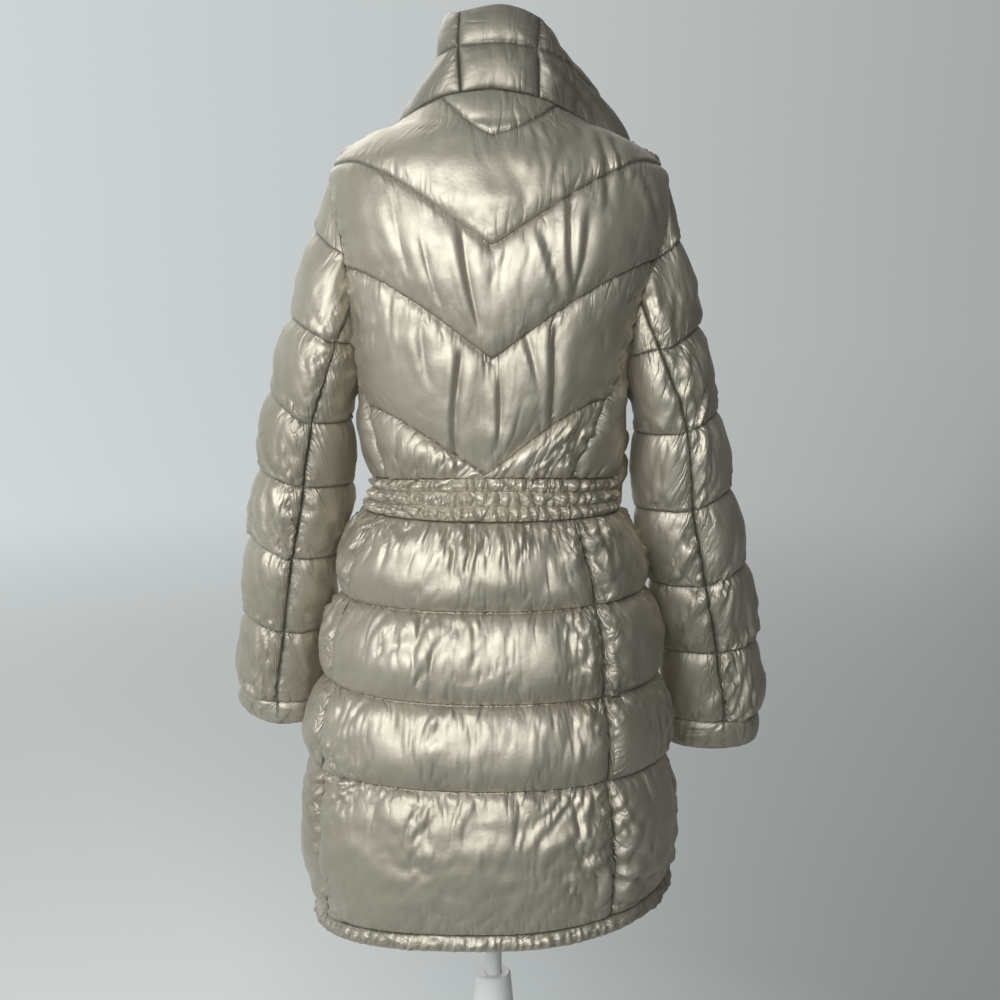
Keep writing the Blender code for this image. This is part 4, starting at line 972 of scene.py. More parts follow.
def measures(cloth, shell):
    """For every point of the shell: its place along and across the cloth, its distance to the
    nearest stitch line and its distance to the nearest seam at the sides. In beaded channels the
    seam distance also shrinks in the valleys between the beads, so that the material paints shade
    there."""
    run, walk = lengths(shell, 0), lengths(shell, 1)
    away = np.min([np.abs(run - run[stop]) for stop in cloth.stops], axis=0)
    sides = beside(walk, cloth.loop)
    # painted shade: valleys between beads count as near a seam, so the nylon darkens them
    if cloth.beads:
        sunk = BEAD_PAINTED_SHADE_REACH * np.clip(cloth.beaded() - BEAD_FLOOR, 0.05, 1) / cloth.bead_depth
        sides = np.minimum(sides, sunk)
    return walk - walk[:, shell.shape[1] // 2, None], run, away, sides


def quads(ids, turned=False):
    """The four-sided faces of a grid of point numbers."""
    corners = [ids[:-1, :-1], ids[:-1, 1:], ids[1:, 1:], ids[1:, :-1]]
    if turned:
        corners[1], corners[3] = corners[3], corners[1]
    return np.stack([corner.ravel() for corner in corners], -1)


def padded_mesh(cloth, shell, fabric):
    """The shell with a plain lining face behind it, closed round its edges."""
    rows, columns = shell.shape[:2]
    inner = cloth.inner
    outer_id = np.arange(rows * columns).reshape(rows, columns)
    if cloth.loop:
        outer_id[:, -1] = outer_id[:, 0]
    pick_i, pick_j = coarse(rows), coarse(columns)
    lining = inner[np.ix_(pick_i, pick_j)]
    start = rows * columns
    ids = start + np.arange(len(pick_i) * len(pick_j)).reshape(lining.shape[:2])
    points = [shell.reshape(-1, 3), lining.reshape(-1, 3)]
    faces = [quads(outer_id), quads(ids, turned=True)]
    start += ids.size
    edges = [(inner[0], outer_id[0], pick_j, False), (inner[-1], outer_id[-1], pick_j, True)]
    if not cloth.loop:
        edges += [(inner[:, 0], outer_id[:, 0], pick_i, True)]
        edges += [(inner[:, -1], outer_id[:, -1], pick_i, False)]
    for line, outer, picks, turn in edges:
        low = between(line, picks)
        points.append(low)
        strip = quads(np.stack([start + np.arange(len(low)), outer]))
        start += len(low)
        faces.append(strip[:, ::-1] if turn else strip)
    points, faces = np.concatenate(points), np.concatenate(faces)
    i, j = rows // 2, columns // 2
    across, up = shell[i, j] - shell[i, j - 1], shell[i + 1, j - 1] - shell[i, j - 1]
    if np.dot(np.cross(across, up), cloth.outward[i, j]) < 0:
        faces = faces[:, ::-1]
    piece = mesh_object(cloth.name + "_quilted", points, faces, fabric)
    sizes = np.full((len(points), len(MEASURES)), FAR)
    sizes[: rows * columns] = np.stack([size.ravel() for size in measures(cloth, shell)], -1)
    for name, values in zip(MEASURES, sizes.T):
        piece.data.attributes.new(name, "FLOAT", "POINT").data.foreach_set("value", values)
    return piece


def along(line, run, at):
    """A point or direction of a line at a length along it."""
    return np.array([np.interp(at, run, line[:, k]) for k in range(3)])


def stitching(cloth, shell, thread):
    """The thread of the quilting, one grain for each stitch of the inner stitch lines."""
    points, faces = [], []
    for stop in cloth.stops[1:-1]:
        line, run = shell[stop], lengths(shell[stop], 0)
        for start in np.arange(STITCH_PITCH, run[-1] - STITCH_PITCH, STITCH_PITCH):
            a, b = along(line, run, start), along(line, run, start + STITCH_LENGTH)
            out = along(cloth.outward[stop], run, start)
            out = out / np.linalg.norm(out)
            wide = np.cross(b - a, out)
            wide = wide / np.linalg.norm(wide)
            base = len(points)
            points += [a - STITCH_SUNK * out, b - STITCH_SUNK * out]
            for share in (0.28, 0.72):
                centre = a + (b - a) * share + STITCH_RAISED * out
                points += [centre + STITCH_RADIUS * way for way in (wide, out, -wide, -out)]
            for k in range(4):
                near, far = base + 2 + k, base + 2 + (k + 1) % 4
                faces += [(base, near, far), (near, near + 4, far + 4, far)]
                faces.append((base + 1, far + 4, near + 4))
    return mesh_object(cloth.name + "_stitching", points, faces, thread)


# ---------------------------------------------------------------- the zip's tapes and teeth
def beside_zip(heights, off, out):
    """Points `off` beside the zip, positive to the coat's left, and `out` from the lining."""
    centre, degree = at_zip(heights)
    angle = centre - off / degree
    return body(angle, heights) + out * body_normal(angle, heights)


def zip_tape(side, cloth_material):
    """A woven tape just inside the fronts, of which a few millimetres show beside the teeth."""
    heights = np.linspace(ZIP_BOTTOM, ZIP_TOP, 90)
    steps = sign(side) * np.linspace(TAPE_INNER, TAPE_INNER + TAPE_WIDTH, 5)
    faces_out, faces_in = (
        np.array([beside_zip(heights, step, out) for step in steps])
        for out in (-TAPE_BEHIND, -TAPE_BEHIND - TAPE_THICK)
    )
    count = faces_out.shape[0] * faces_out.shape[1]
    ids = np.arange(count).reshape(faces_out.shape[:2])
    rim = np.concatenate([ids[:, 0], ids[-1, 1:], ids[-2::-1, -1], ids[0, -2::-1]])
    strip = np.stack([rim[1:], rim[:-1], rim[:-1] + count, rim[1:] + count], -1)
    face = quads(ids, turned=True)
    faces = np.concatenate([face, face[:, ::-1] + count, strip])
    if side == "right":
        faces = faces[:, ::-1]
    points = np.concatenate([faces_out.reshape(-1, 3), faces_in.reshape(-1, 3)])
    return mesh_object("zip_tape_" + side, points, faces, cloth_material, smooth=False)


def zip_teeth(metal_material):
    """Metal teeth that reach over the middle from both tapes in turn."""
    points, faces = [], []
    levels = ((-TOOTH_BACK, 0.0), (TOOTH_OUT - TOOTH_SLOPE, 0.0), (TOOTH_OUT, TOOTH_BEVEL))
    corners = ((-TOOTH_REACH, -1), (TOOTH_ROOT, -1), (TOOTH_ROOT, 1), (-TOOTH_REACH, 1))
    for k in range(int((ZIP_TOP - ZIP_BOTTOM - 2 * ZIP_MARGIN) / TOOTH_PITCH * 2)):
        height = ZIP_BOTTOM + ZIP_MARGIN + k * TOOTH_PITCH / 2
        side = 1 if k % 2 else -1
        centre, across = beside_zip(height, 0.0, 0.0), beside_zip(height, 0.001, 0.0)
        wide = unit(across - centre) * side
        out = body_normal(read(TURN, "zip", height), np.array(height))
        up = np.cross(wide, out) * side
        up = up / np.linalg.norm(up)
        base = len(points)
        for raised, inset in levels:
            for along, way in corners:
                at, high = along + inset * (1 if along < 0 else -1), TOOTH_HIGH / 2 - inset
                points.append(centre + wide * at + up * way * high + out * raised)
        for low in (base, base + 4):
            for j in range(4):
                a, b = low + j, low + (j + 1) % 4
                faces.append((a, b, b + 4, a + 4))
        faces += [tuple(base + 8 + j for j in range(4)), tuple(base + 3 - j for j in range(4))]
    piece = mesh_object("zip_teeth", points, faces, metal_material, smooth=False)
    shape = bmesh.new()
    shape.from_mesh(piece.data)
    bmesh.ops.recalc_face_normals(shape, faces=shape.faces)
    shape.to_mesh(piece.data)
    shape.free()
    return piece


def mesh_object(name, points, faces, material, smooth=True):
    data = bpy.data.meshes.new(name)
    faces = faces.tolist() if isinstance(faces, np.ndarray) else faces
    data.from_pydata(np.asarray(points).tolist(), [], faces)
    data.validate()
    if smooth:
        data.shade_smooth()
    data.materials.append(material)
    return linked(data)


def linked(data):
    """An object in the scene, named as its mesh, camera or light."""
    thing = bpy.data.objects.new(data.name, data)
    bpy.context.scene.collection.objects.link(thing)
    return thing


# ---------------------------------------------------------------- the coat's panels
def chevron_lines():
    across = np.linspace(-1, 1, BACK_COLUMNS + 1)
    lines = [level("band_top", back_angles(BAND_TOP, BAND_TOP))]
    for centre, left, right, reach in zip(*CHEVRONS.values()):
        ends = np.where(across >= 0, left, right)
        lines.append(centre + (ends - centre) * bend(across, reach))
    turn = 90 * across
    neck = neck_height(turn)
    yoke = YOKE[0] + np.where(turn > 0, YOKE[1], YOKE[2]) * np.abs(turn)
    return lines + [np.minimum(yoke, neck - YOKE_BELOW_NECK), neck]


def on_body(kind, name, seed, angles, heights, shares, **more):
    """A panel of the coat's body."""
    inner = pull_in(body(angles, heights))
    return Cloth(kind, name, seed, inner, body_normal(angles, heights), shares, **more)


def upper_panel(kind, name, seed, angles, heights, shares, holes):
    """A panel that reaches the neck seam. Its armholes are given as column, side, lowest height
    and whether it lies in front of the arm."""
    panel = on_body(kind, name, seed, angles, heights, shares)
    for column, side, lowest, front in holes:
        for i, height in enumerate(heights[:, column]):
            if lowest - NEAR <= height <= SHOULDER + NEAR:
                panel.outward[i, column] = armhole_outward(side, height, front)
                panel.inner[i, column] -= armhole_parting(side, height, front)
    panel.outward[-1] = neck_outward(angles[-1])
    # the down is pressed down where the coat rests on the shoulders
    panel.puff *= np.clip(1 - 1.4 * np.maximum(0, panel.outward[..., 2]), 0.15, 1)
    return panel


def back_bodice():
    heights, shares = rows_between(chevron_lines(), BACK_ROWS)
    angles = np.array([back_angles(row[-1], row[0]) for row in heights])
    angles[0] = back_angles(BAND_TOP, BAND_TOP)
    holes = [(0, "right", PRINCESS_TOP["right"], False), (-1, "left", PRINCESS_TOP["left"], False)]
    return upper_panel("back_bodice", "back_bodice", 11, angles, heights, shares, holes)


def side_bodice(side):
    top = PRINCESS_TOP[side]
    edge = rows_between(chevron_lines(), BACK_ROWS)[0][:, -1 if side == "left" else 0]
    edge = edge[edge <= top + NEAR]
    edge[-1] = top
    shares = (edge - edge[0]) / (edge[-1] - edge[0])
    across = np.linspace(0, 1, SIDE_COLUMNS + 1)
    low_angles = side_angles(side, BAND_TOP)
    low, high = level("band_top", low_angles), np.linspace(top, ARMPIT, SIDE_COLUMNS + 1)
    seam_edge = low[-1] + (ARMPIT - low[-1]) * shares
    heights = edge[:, None] + (seam_edge - edge)[:, None] * across
    heights[0], heights[-1] = low, high
    ends = [(read(PRINCESS, side, row[0]), read(TURN, "side_" + side, row[-1])) for row in heights]
    angles = np.array([sign(side) * (seam + (end - seam) * across) for seam, end in ends])
    angles[0], angles[-1] = low_angles, armhole_angle(side, high, False)
    panel = on_body("side_bodice", "side_bodice_" + side, 21 + len(side), angles, heights, shares)
    panel.outward[-1] = armhole_outward(side, high, False)
    panel.inner[-1] -= armhole_parting(side, high, False)
    return panel


def waistband():
    """Three shirred channels around the back, from side seam to side seam."""
    lines = np.linspace(LEVELS["band_bottom"][1], BAND_TOP, len(BAND_ROWS) + 1)
    nominal, shares = rows_between(lines, BAND_ROWS)
    angles = np.array([finer(whole_back(height), BAND_COLUMNS) for height in nominal])
    low, high = level("band_bottom", angles[0]), level("band_top", angles[-1])
    heights = low + (high - low) * np.linspace(0, 1, len(nominal))[:, None]
    return on_body("waistband", "waistband", 31, angles, heights, shares)


def skirt_panel(kind, name, seed, rows):
    """A panel of the skirt, whose lowest channel is less full towards the hem band."""
    low = np.linspace(0, 1, SKIRT_ROWS[0] + 1)
    low = 0.55 + 0.45 * np.minimum(1, low / 0.6)
    level_off = np.concatenate([low, np.ones(sum(SKIRT_ROWS[1:]))])
    return on_body(kind, name, seed, *rows, level=level_off)


def skirt():
    return [
        skirt_panel("skirt", name, seed, level_rows(SKIRT_LINES, SKIRT_ROWS, angles_at))
        for name, seed, angles_at in (
            ("skirt_back", 41, lambda height: back_angles(height, height)),
            ("skirt_side_left", 42, lambda height: side_angles("left", height)),
            ("skirt_side_right", 43, lambda height: side_angles("right", height)),
        )
    ]


def hem_band():
    def whole_round(height):
        right, left = (front_angles(side, height, height) for side in ("right", "left"))
        return np.concatenate([right[:0:-1], whole_back(height), left[1:]])

    rows = level_rows(("hem_bottom", "hem_top"), HEM_ROWS, whole_round)
    return on_body("hem_band", "hem_band", 51, *rows)


def front_panels(side):
    """The skirt part and, above the waist seam, the upper front up to the neck seam."""
    rows = level_rows(SKIRT_LINES, SKIRT_ROWS, lambda height: front_angles(side, height, height))
    low = skirt_panel("skirt_front", "skirt_front_" + side, 61 + len(side), rows)
    waist_angles, waist_heights = rows[0][-1], rows[1][-1]
    across = np.linspace(0, 1, FRONT_COLUMNS + 1)
    ease = across * across * (3 - 2 * across)
    lines = [waist_heights]
    for edge, closing in zip(FRONT_LINES["side"][1:], FRONT_LINES["zip"][1:]):
        lines.append(edge + (closing - edge) * ease)
    neck_end = zip_angle(side, NECK["left"][-1])
    neck = sign(side) * 90 + (neck_end - sign(side) * 90) * across
    lines.append(neck_height(neck))
    heights, shares = rows_between(lines, FRONT_ROWS)
    angles = np.array([front_angles(side, row[0], row[-1]) for row in heights])
    angles[0], angles[-1] = waist_angles, neck
    holes, seed = [(0, side, ARMPIT, True)], 65 + len(side)
    return [low, upper_panel("front", "front_" + side, seed, angles, heights, shares, holes)]


def armhole_nodes(side):
    ends = CHEVRONS[side]
    upper = np.linspace(ends[2], ends[1], 5)
    lower = np.linspace(ends[1], ends[0], 5)
    lower = lower[lower >= PRINCESS_TOP[side] - 1e-6]
    under = np.linspace(PRINCESS_TOP[side], ARMPIT, 5)
    back = np.concatenate([upper, lower[1:], under[1:]])
    side_lines = FRONT_LINES["side"]
    front = np.concatenate(
        [np.linspace(side_lines[i + 1], side_lines[i], 4)[:-1] for i in (3, 2, 1)]
    )
    front = np.concatenate([front[front > ARMPIT + 1e-6], [ARMPIT]])
    return around_armhole(back, False), around_armhole(front, True)


def sleeve_columns(side):
    """Columns of the outer and the under panel, as angles around the armhole."""
    back, front = armhole_nodes(side)
    elbow = int(np.argmin(np.abs(back - ELBOW_TOP)))
    turn = int(np.argmin(np.abs(front - (180 - ELBOW_TOP))))
    outer = np.concatenate([back[: elbow + 1][::-1], front[1 : turn + 1]])
    under = np.concatenate([front[turn:], (back[elbow:-1] + 360)[::-1]])
    return finer(outer, OUTER_COLUMNS), finer(under, UNDER_COLUMNS)


def finer(nodes, count):
    return np.interp(np.linspace(0, len(nodes) - 1, count + 1), range(len(nodes)), nodes)


def spread(side, columns, at, outer):
    elbow = read(RINGS[side], "elbow", np.maximum(at, 1))
    seam = columns[0] if outer else columns[-1] - 360
    elbow = seam * (1 - np.minimum(at, 1)) + elbow * np.minimum(at, 1)
    start, end = (elbow, 180 - elbow) if outer else (180 - elbow, 360 + elbow)
    share = (columns - columns[0]) / (columns[-1] - columns[0])
    fixed = start + (end - start) * share
    return np.where(at <= 0, columns, fixed + (columns - fixed) * np.maximum(0, 1 - at) ** 2)


def sleeve_panel(side, outer):
    columns = sleeve_columns(side)[0 if outer else 1]
    lines = [np.zeros_like(columns)]
    for line in (0, 1):
        least = (line + 1) * LEAST_STEP
        lines.append(np.maximum(head_share(side, line, columns), least))
    lines += [np.full_like(columns, at) for at in (1.0, 2.0, 3.0, 4.0, 5.0)]
    at, shares = rows_between(lines, SLEEVE_ROWS)
    around = spread(side, columns, at, outer)
    outward = sleeve_normal(side, around, at)
    inner = pull_in(sleeve(side, around, at), 2 * GAP)
    for j, angle in enumerate(columns):
        height = HOLE_MIDDLE + HOLE_HALF * sin(radians(angle))
        seam = side, height, cos(radians(angle)) < -1e-9
        outward[0, j] = armhole_outward(*seam)
        inner[0, j] += armhole_parting(*seam)
    name = ("sleeve_outer_" if outer else "sleeve_under_") + side
    fill = 1 - 0.50 * np.maximum(0, -np.sin(np.radians(around)))  # less towards the body
    return Cloth("sleeve", name, 71 + len(name), inner, outward, shares, fill)


def cuff(side):
    outer, under = sleeve_columns(side)
    end = np.array([5.0])
    seams = spread(side, outer, end, True), spread(side, under, end, False)
    around = np.concatenate([seams[0][:-1], seams[1]])
    at, shares = rows_between([np.full_like(around, 5), np.full_like(around, 6)], CUFF_ROWS)
    around = np.array([around] * len(at))
    inner = sleeve(side, around, at)
    inner[0] += GAP * unit(inner[1] - inner[0])
    outward = sleeve_normal(side, around, at)
    return Cloth("cuff", "cuff_" + side, 81 + len(side), inner, outward, shares, loop=True)


def collar_panel(name, angles, seed):
    lines = [np.zeros_like(angles), np.ones_like(angles), 2.0 + 0 * angles]
    at, shares = rows_between(lines, COLLAR_ROWS)
    around = np.array([angles] * len(at))
    outward = collar_normal(around, at)
    outward[0] = neck_outward(angles)
    return Cloth("collar", name, seed, pull_in(collar(around, at)), outward, shares)


def collars():
    back = 90 * np.linspace(-1, 1, 17)
    fronts = {}
    for side in ("left", "right"):
        start, end = sign(side) * 90, zip_angle(side, NECK[side][-1])
        fronts[side] = start + (end - start) * np.linspace(0, 1, 7)
    left = np.concatenate([back[10:], fronts["left"][1:]])
    right = np.concatenate([fronts["right"][:0:-1], back[:6]])
    return [
        collar_panel("collar_back", finer(back[5:11], COLLAR_BACK_COLUMNS), 91),
        collar_panel("collar_left", finer(left, COLLAR_COLUMNS), 92),
        collar_panel("collar_right", finer(right, COLLAR_COLUMNS), 93),
    ]


def all_panels():
    panels = [back_bodice(), waistband(), *skirt(), hem_band()]
    for side in ("left", "right"):
        panels += [side_bodice(side), *front_panels(side)]
        panels += [sleeve_panel(side, True), sleeve_panel(side, False), cuff(side)]
    return panels + collars()


# ---------------------------------------------------------------- materials
def node_material(name):
    material = bpy.data.materials.new(name)
    material.use_nodes = True
    tree = material.node_tree
    return material, tree, tree.nodes["Principled BSDF"]


def wire(tree, node, inputs):
    """Gives the inputs of a node their values, or links other nodes' outputs to them."""
    for key, value in inputs.items():
        if isinstance(value, bpy.types.NodeSocket):
            tree.links.new(value, node.inputs[key])
        else:
            node.inputs[key].default_value = value


def add(tree, kind, inputs=None, **settings):
    node = tree.nodes.new(kind)
    for key, value in settings.items():
        setattr(node, key, value)
    wire(tree, node, inputs or {})
    return node


def maths(tree, operation, *values):
    return add(tree, "ShaderNodeMath", dict(enumerate(values)), operation=operation).outputs[0]


def product(tree, first, *others):
    for other in others:
        first = maths(tree, "MULTIPLY", first, other)
    return first


def noise(tree, place, scale, detail=3.0, rough=0.5):
    inputs = {"Vector": place, "Scale": scale, "Detail": detail, "Roughness": rough}
    return add(tree, "ShaderNodeTexNoise", inputs).outputs["Fac"]


def weave(tree, place, pitch):
    """Two crossing sets of threads."""
    inputs = {"Vector": place, "Scale": 0.314 / pitch, "Distortion": 0.4, "Detail": 1.0}
    threads = (
        add(tree, "ShaderNodeTexWave", inputs, wave_type="BANDS", bands_direction=way)
        for way in ("X", "Z")
    )
    return product(tree, *(node.outputs["Fac"] for node in threads))


def ramp(tree, value, *stops):
    node = add(tree, "ShaderNodeValToRGB", {"Fac": value})
    elements = node.color_ramp.elements
    while len(elements) < len(stops):
        elements.new(0.5)
    for element, (at, colour) in zip(elements, stops):
        element.position, element.color = at, (*colour, 1)
    return node.outputs["Color"]


def remap(tree, value, low, high, to_low, to_high):
    inputs = {"From Min": low, "From Max": high, "To Min": to_low, "To Max": to_high}
    return add(tree, "ShaderNodeMapRange", {"Value": value, **inputs}).outputs["Result"]


def bump(tree, height, strength, distance, under=None):
    inputs = {"Height": height, "Strength": strength, "Distance": distance}
    if under is not None:
        inputs["Normal"] = under
    return add(tree, "ShaderNodeBump", inputs).outputs["Normal"]


def mixed(tree, first, second, share, blend="MIX"):
    node = add(tree, "ShaderNodeMix", {"Factor": share}, data_type="RGBA", blend_type=blend)
    colours = [key for key, socket in enumerate(node.inputs) if socket.type == "RGBA"]
    wire(tree, node, dict(zip(colours, (first, second))))
    return next(socket for socket in node.outputs if socket.type == "RGBA")


def bell(tree, value, reach):
    """1 at 0, falling off smoothly over `reach`."""
    share = maths(tree, "DIVIDE", value, reach)
    return maths(tree, "EXPONENT", product(tree, share, share, -1.0))


def vector(tree, *parts):
    return add(tree, "ShaderNodeCombineXYZ", dict(enumerate(parts))).outputs[0]


def fine_gathers(tree, strength):
    """Height of the small folds that run out from stitch lines and seams."""
    u, v, line, seam = (
        add(tree, "ShaderNodeAttribute", attribute_name=name).outputs["Fac"] for name in MEASURES
    )
    total = 0.0
    for turn, (along, across, away) in enumerate(((u, v, line), (v, u, seam))):
        for k, (wave, stretch, reach, deep) in enumerate(FINE_GATHERS):
            at = maths(tree, "DIVIDE", along, wave)
            lane = maths(tree, "DIVIDE", across, wave * stretch)
            place = vector(tree, at, lane, 3.7 * k + 11.0 * turn)
            inputs = {"Vector": place, "Scale": 0.62, "Detail": 1.0, "Distortion": 0.35}
            folds = add(tree, "ShaderNodeTexNoise", inputs).outputs["Fac"]
            ridge = maths(tree, "ABSOLUTE", maths(tree, "SUBTRACT", folds, 0.5))
            ridge = maths(tree, "MINIMUM", product(tree, ridge, 6.0), 1.0)
            ridge = maths(tree, "POWER", ridge, 0.8)
            groups = noise(tree, vector(tree, along, 5.0 * k), 16.0, 1.0)
            groups = remap(tree, groups, 0.35, 0.65, 0.25, 1.0)
            height = product(tree, ridge, bell(tree, away, reach), groups, deep * strength)
            total = maths(tree, "ADD", total, height)
    return total, line, seam


def nylon(name, shade=1.0, gather=1.0):
    """Satin down-proof nylon: champagne, with a soft sheen and fine gathers at its seams, and with
    shade painted into its stitch lines and seams.
    """
    material, tree, shader = node_material(name + "_nylon")
    place = add(tree, "ShaderNodeTexCoord").outputs["Object"]
    # shade scales the colour: painted light or shade for the panel
    light, dark, shadow = (
        tuple(part * shade for part in tone) for tone in (NYLON_LIGHT, NYLON_DARK, NYLON_PAINTED_SHADE)
    )
    colour = ramp(tree, noise(tree, place, 9.0, 2.0), (0.30, dark), (0.70, light))
    gathers, line, seam = fine_gathers(tree, gather)
    # painted shade: darker where the cloth is drawn down into a stitch line or seam, where shade
    # falls
    painted_shade = maths(tree, "MAXIMUM", bell(tree, line, LINE_PAINTED_SHADE_REACH), bell(tree, seam, SEAM_PAINTED_SHADE_REACH))
    normal = bump(tree, gathers, 1.0, 1.0)
    normal = bump(tree, noise(tree, place, 60.0), 0.30, 0.0016, normal)
    normal = bump(tree, noise(tree, place, 240.0, 4.0, 0.6), 0.35, 0.0004, normal)
    normal = bump(tree, weave(tree, place, 0.0005), 0.12, 0.0001, normal)
    wire(tree, shader, {
        "Base Color": mixed(tree, colour, (*shadow, 1), product(tree, painted_shade, PAINTED_SHADE_SHARE)),
        "Roughness": remap(tree, noise(tree, place, 70.0), *NOISE_SPAN, *NYLON_ROUGH),
        "Metallic": NYLON_METALLIC, "Specular IOR Level": 0.5, "Normal": normal,
        "Sheen Weight": 0.08, "Sheen Roughness": 0.4,
    })
    return material


def plain(name, colour, tone, relief, rough, depth, more):
    """A material of one colour. `tone` is a texture, its sizes, its two stops and how dark the
    first is. `relief` is a texture, its sizes and its span, and it sets roughness and bump."""
    material, tree, shader = node_material(name)
    place = add(tree, "ShaderNodeTexCoord").outputs["Object"]
    texture, sizes, (low, high), dark = tone
    darker = tuple(dark * part for part in colour)
    stops = (low, darker), (high, colour)
    grained, grain_sizes, span = relief
    grain = grained(tree, place, *grain_sizes)
    wire(tree, shader, {
        "Base Color": ramp(tree, texture(tree, place, *sizes), *stops),
        "Roughness": remap(tree, grain, *span, *rough), "Normal": bump(tree, grain, *depth), **more,
    })
    return material


def matte_cloth(name, colour, pitch):
    """Thread or woven tape."""
    tone, relief = (weave, (pitch,), (0.2, 0.8), 0.78), (weave, (pitch,), (0, 1))
    return plain(name, colour, tone, relief, (0.75, 0.6), (0.5, 0.0002), {"Sheen Weight": 0.2})


def metal(name, colour, rough):
    tone, relief = (noise, (260.0, 2.0), NOISE_SPAN, 0.86), (noise, (900.0,), NOISE_SPAN)
    roughness = rough - 0.06, rough + 0.08
    return plain(name, colour, tone, relief, roughness, (0.15, 0.0001), {"Metallic": 1.0})


def enamel(name, colour, rough):
    tone, relief = (noise, (14.0, 2.0), NOISE_SPAN, 0.95), (noise, (420.0, 2.0), NOISE_SPAN)
    roughness = rough - 0.03, rough + 0.05
    return plain(name, colour, tone, relief, roughness, (0.08, 0.0002), {"Coat Weight": 0.25})


def jersey(name, colour):
    """The knitted cover of the dress form."""
    tone, relief = (noise, (20.0,), NOISE_SPAN, 0.93), (weave, (0.0012,), (0, 1))
    return plain(name, colour, tone, relief, (0.92, 0.78), (0.5, 0.0003), {"Sheen Weight": 0.25})


# ---------------------------------------------------------------- scene
def camera():
    data = bpy.data.cameras.new("camera")
    data.sensor_width, data.lens = 36.0, CAMERA_LENS
    data.clip_start, data.clip_end = 0.05, 60
    thing = linked(data)
    thing.location = CAMERA_PLACE
    thing.rotation_euler = (radians(90 - CAMERA_TILT), 0, pi)
    bpy.context.scene.camera = thing


def light(name, kind, way, power, colour):
    """A light that shines along `way`."""
    data = bpy.data.lights.new(name, kind)
    data.energy, data.color = power, colour
    thing = linked(data)
    thing.rotation_euler = Vector(way).to_track_quat("-Z", "Y").to_euler()
    return thing


def softbox(name, place, target, size, power):
    thing = light(name, "AREA", Vector(target) - Vector(place), power, DAYLIGHT)
    thing.data.shape, (thing.data.size, thing.data.size_y) = "RECTANGLE", size
    thing.location, thing.visible_camera = place, False


def room_colour(tree, x, y, z=None):
    """Brighter on the coat's left side, dimmer overhead and behind the camera at its back."""
    side = ramp(tree, remap(tree, x, -1, 1, 0, 1), *ROOM_SIDES)
    dimmer = remap(tree, y, *ROOM_BEHIND)
    if z is not None:
        dimmer = product(tree, dimmer, remap(tree, z, *ROOM_OVERHEAD))
    return mixed(tree, side, dimmer, 1.0, "MULTIPLY")


def split(tree, place):
    return add(tree, "ShaderNodeSeparateXYZ", {0: place}).outputs[:]


def studio():
    """A pale room, two soft boxes at the coat's back, a broad sun at its front and a floor."""
    scene = bpy.context.scene
    scene.view_settings.view_transform = "Standard"
    scene.world = scene.world or bpy.data.worlds.new("studio")
    scene.world.use_nodes = True
    tree = scene.world.node_tree
    way = split(tree, add(tree, "ShaderNodeTexCoord").outputs["Generated"])
    background = {"Color": room_colour(tree, *way), "Strength": 1.0}
    wire(tree, tree.nodes["Background"], background)
    for box in SOFTBOXES:
        softbox(*box)
    light("front", "SUN", SUN_WAY, SUN_POWER, SUNLIGHT).data.angle = radians(SUN_SPREAD)
    turns = [2 * pi * i / FLOOR_CORNERS for i in range(FLOOR_CORNERS)]
    points = [(FLOOR_RADIUS * sin(turn), FLOOR_RADIUS * cos(turn), -FLOOR_BELOW) for turn in turns]
    corners = list(range(FLOOR_CORNERS))[::-1]
    floor = mesh_object("studio_floor", points, [corners], floor_material(), smooth=False)


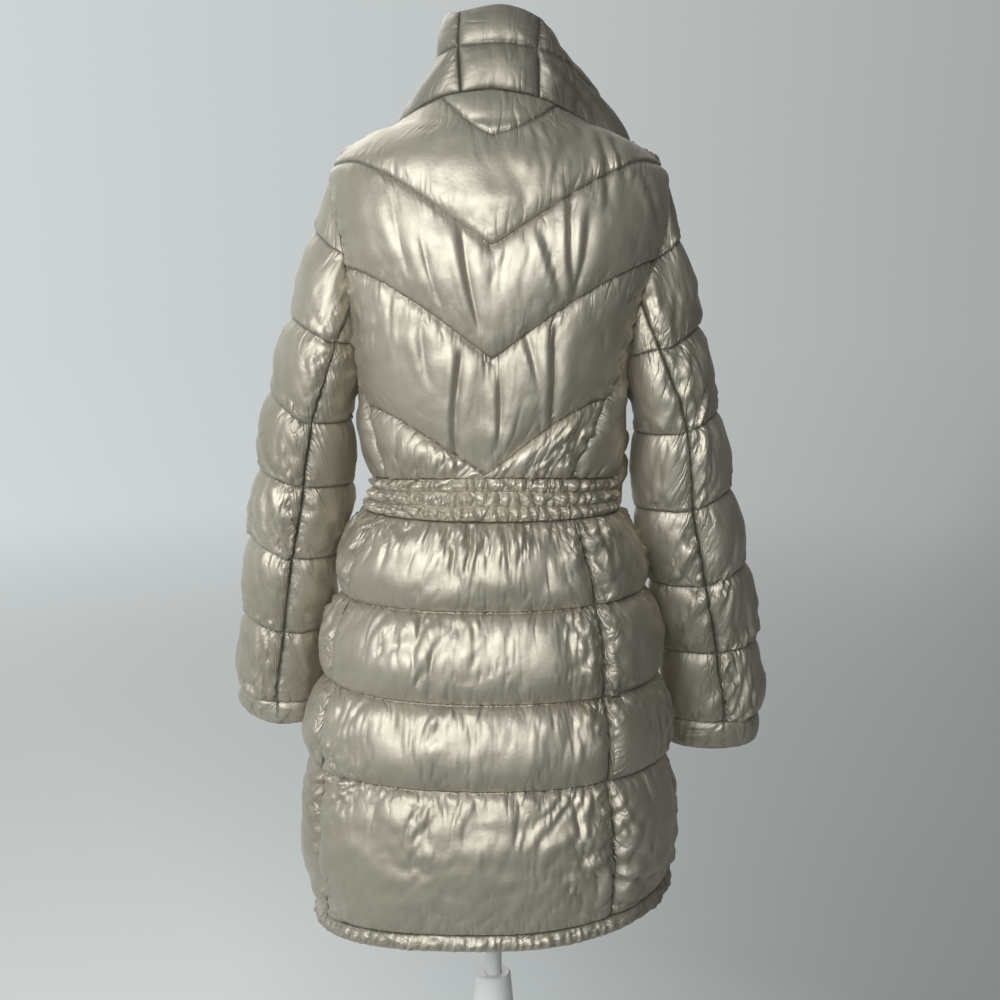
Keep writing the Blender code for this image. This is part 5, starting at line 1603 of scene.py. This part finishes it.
def floor_material():
    """Pale, with painted shade graded from side to side and from front to back as the room's light
    is.
    """
    material, tree, shader = node_material("pale_floor")
    place = add(tree, "ShaderNodeTexCoord").outputs["Object"]
    away = add(tree, "ShaderNodeVectorMath", {0: place}, operation="LENGTH").outputs["Value"]

    def ways(least):
        """X and Y of the direction from the stand, smaller where it is nearer than `least`."""
        reach = maths(tree, "MAXIMUM", away, least)
        return [maths(tree, "DIVIDE", part, reach) for part in split(tree, place)[:2]]

    x, y = ways(1.0)
    # painted shade: darker towards the coat's right side and towards the camera
    tone = ramp(tree, remap(tree, x, -1, 1, 0, 1), *FLOOR_PAINTED_SHADE_SIDES)
    behind = remap(tree, y, *FLOOR_PAINTED_SHADE_BEHIND)
    wire(tree, shader, {
        "Base Color": mixed(tree, tone, behind, 1.0, "MULTIPLY"),
        "Roughness": remap(tree, noise(tree, place, 1.5, 2.0), *NOISE_SPAN, 0.82, 0.9),
        "Specular IOR Level": 0.1,
    })
    # painted light: far away the floor glows with the room's colour and so fades into the room
    room = add(tree, "ShaderNodeEmission", {"Color": room_colour(tree, *ways(0.001))})
    fading = remap(tree, away, *FLOOR_FADE, 0.0, 1.0)
    fading.node.interpolation_type = "SMOOTHSTEP"
    both = add(tree, "ShaderNodeMixShader", {0: fading, 1: shader.outputs[0], 2: room.outputs[0]})
    wire(tree, tree.nodes["Material Output"], {"Surface": both.outputs[0]})
    return material


# ---------------------------------------------------------------- assembly
camera()
studio()
# thread darker than the nylon, partly as painted shade in the stitch lines
thread = matte_cloth("thread", THREAD_AND_GROOVE_SHADE, 0.0004)
for panel in all_panels():
    shell = filled(panel)
    # the panel's colour carries its painted light and shade
    fabric = nylon(panel.name, PAINTED_LIGHT_BY_PANEL.get(panel.name, 1.0), panel.fine)
    piece = padded_mesh(panel, shell, fabric)
    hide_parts(panel.name)
    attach(piece, "coat")
    if len(panel.stops) > 2:
        seam = stitching(panel, shell, thread)
        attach(seam, "coat")

teeth = zip_teeth(metal("zip_metal", ZIP, 0.32))
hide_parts("zip_chain")
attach(teeth, "coat")
tape_cloth = matte_cloth("tape_cloth", TAPE, 0.0007)
for side in ("left", "right"):
    tape = zip_tape(side, tape_cloth)
    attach(tape, "coat")

paint = {
    "zip_slider": metal("slider_metal", SLIDER, 0.26),
    "zip_pull": metal("pull_metal", SLIDER, 0.24),
    "form_torso": jersey("form_cover", COVER),
    "form_neck_cap": enamel("cap_plastic", COVER, 0.38),
    "form_pole": enamel("pole_enamel", WHITE, 0.25),
    "form_clamp": enamel("clamp_enamel", WHITE, 0.30),
    "form_tube": enamel("tube_enamel", WHITE, 0.25),
    "form_base": enamel("base_enamel", WHITE, 0.28),
}
for node, material in paint.items():
    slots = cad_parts[node].data.materials
    slots.clear()
    slots.append(material)
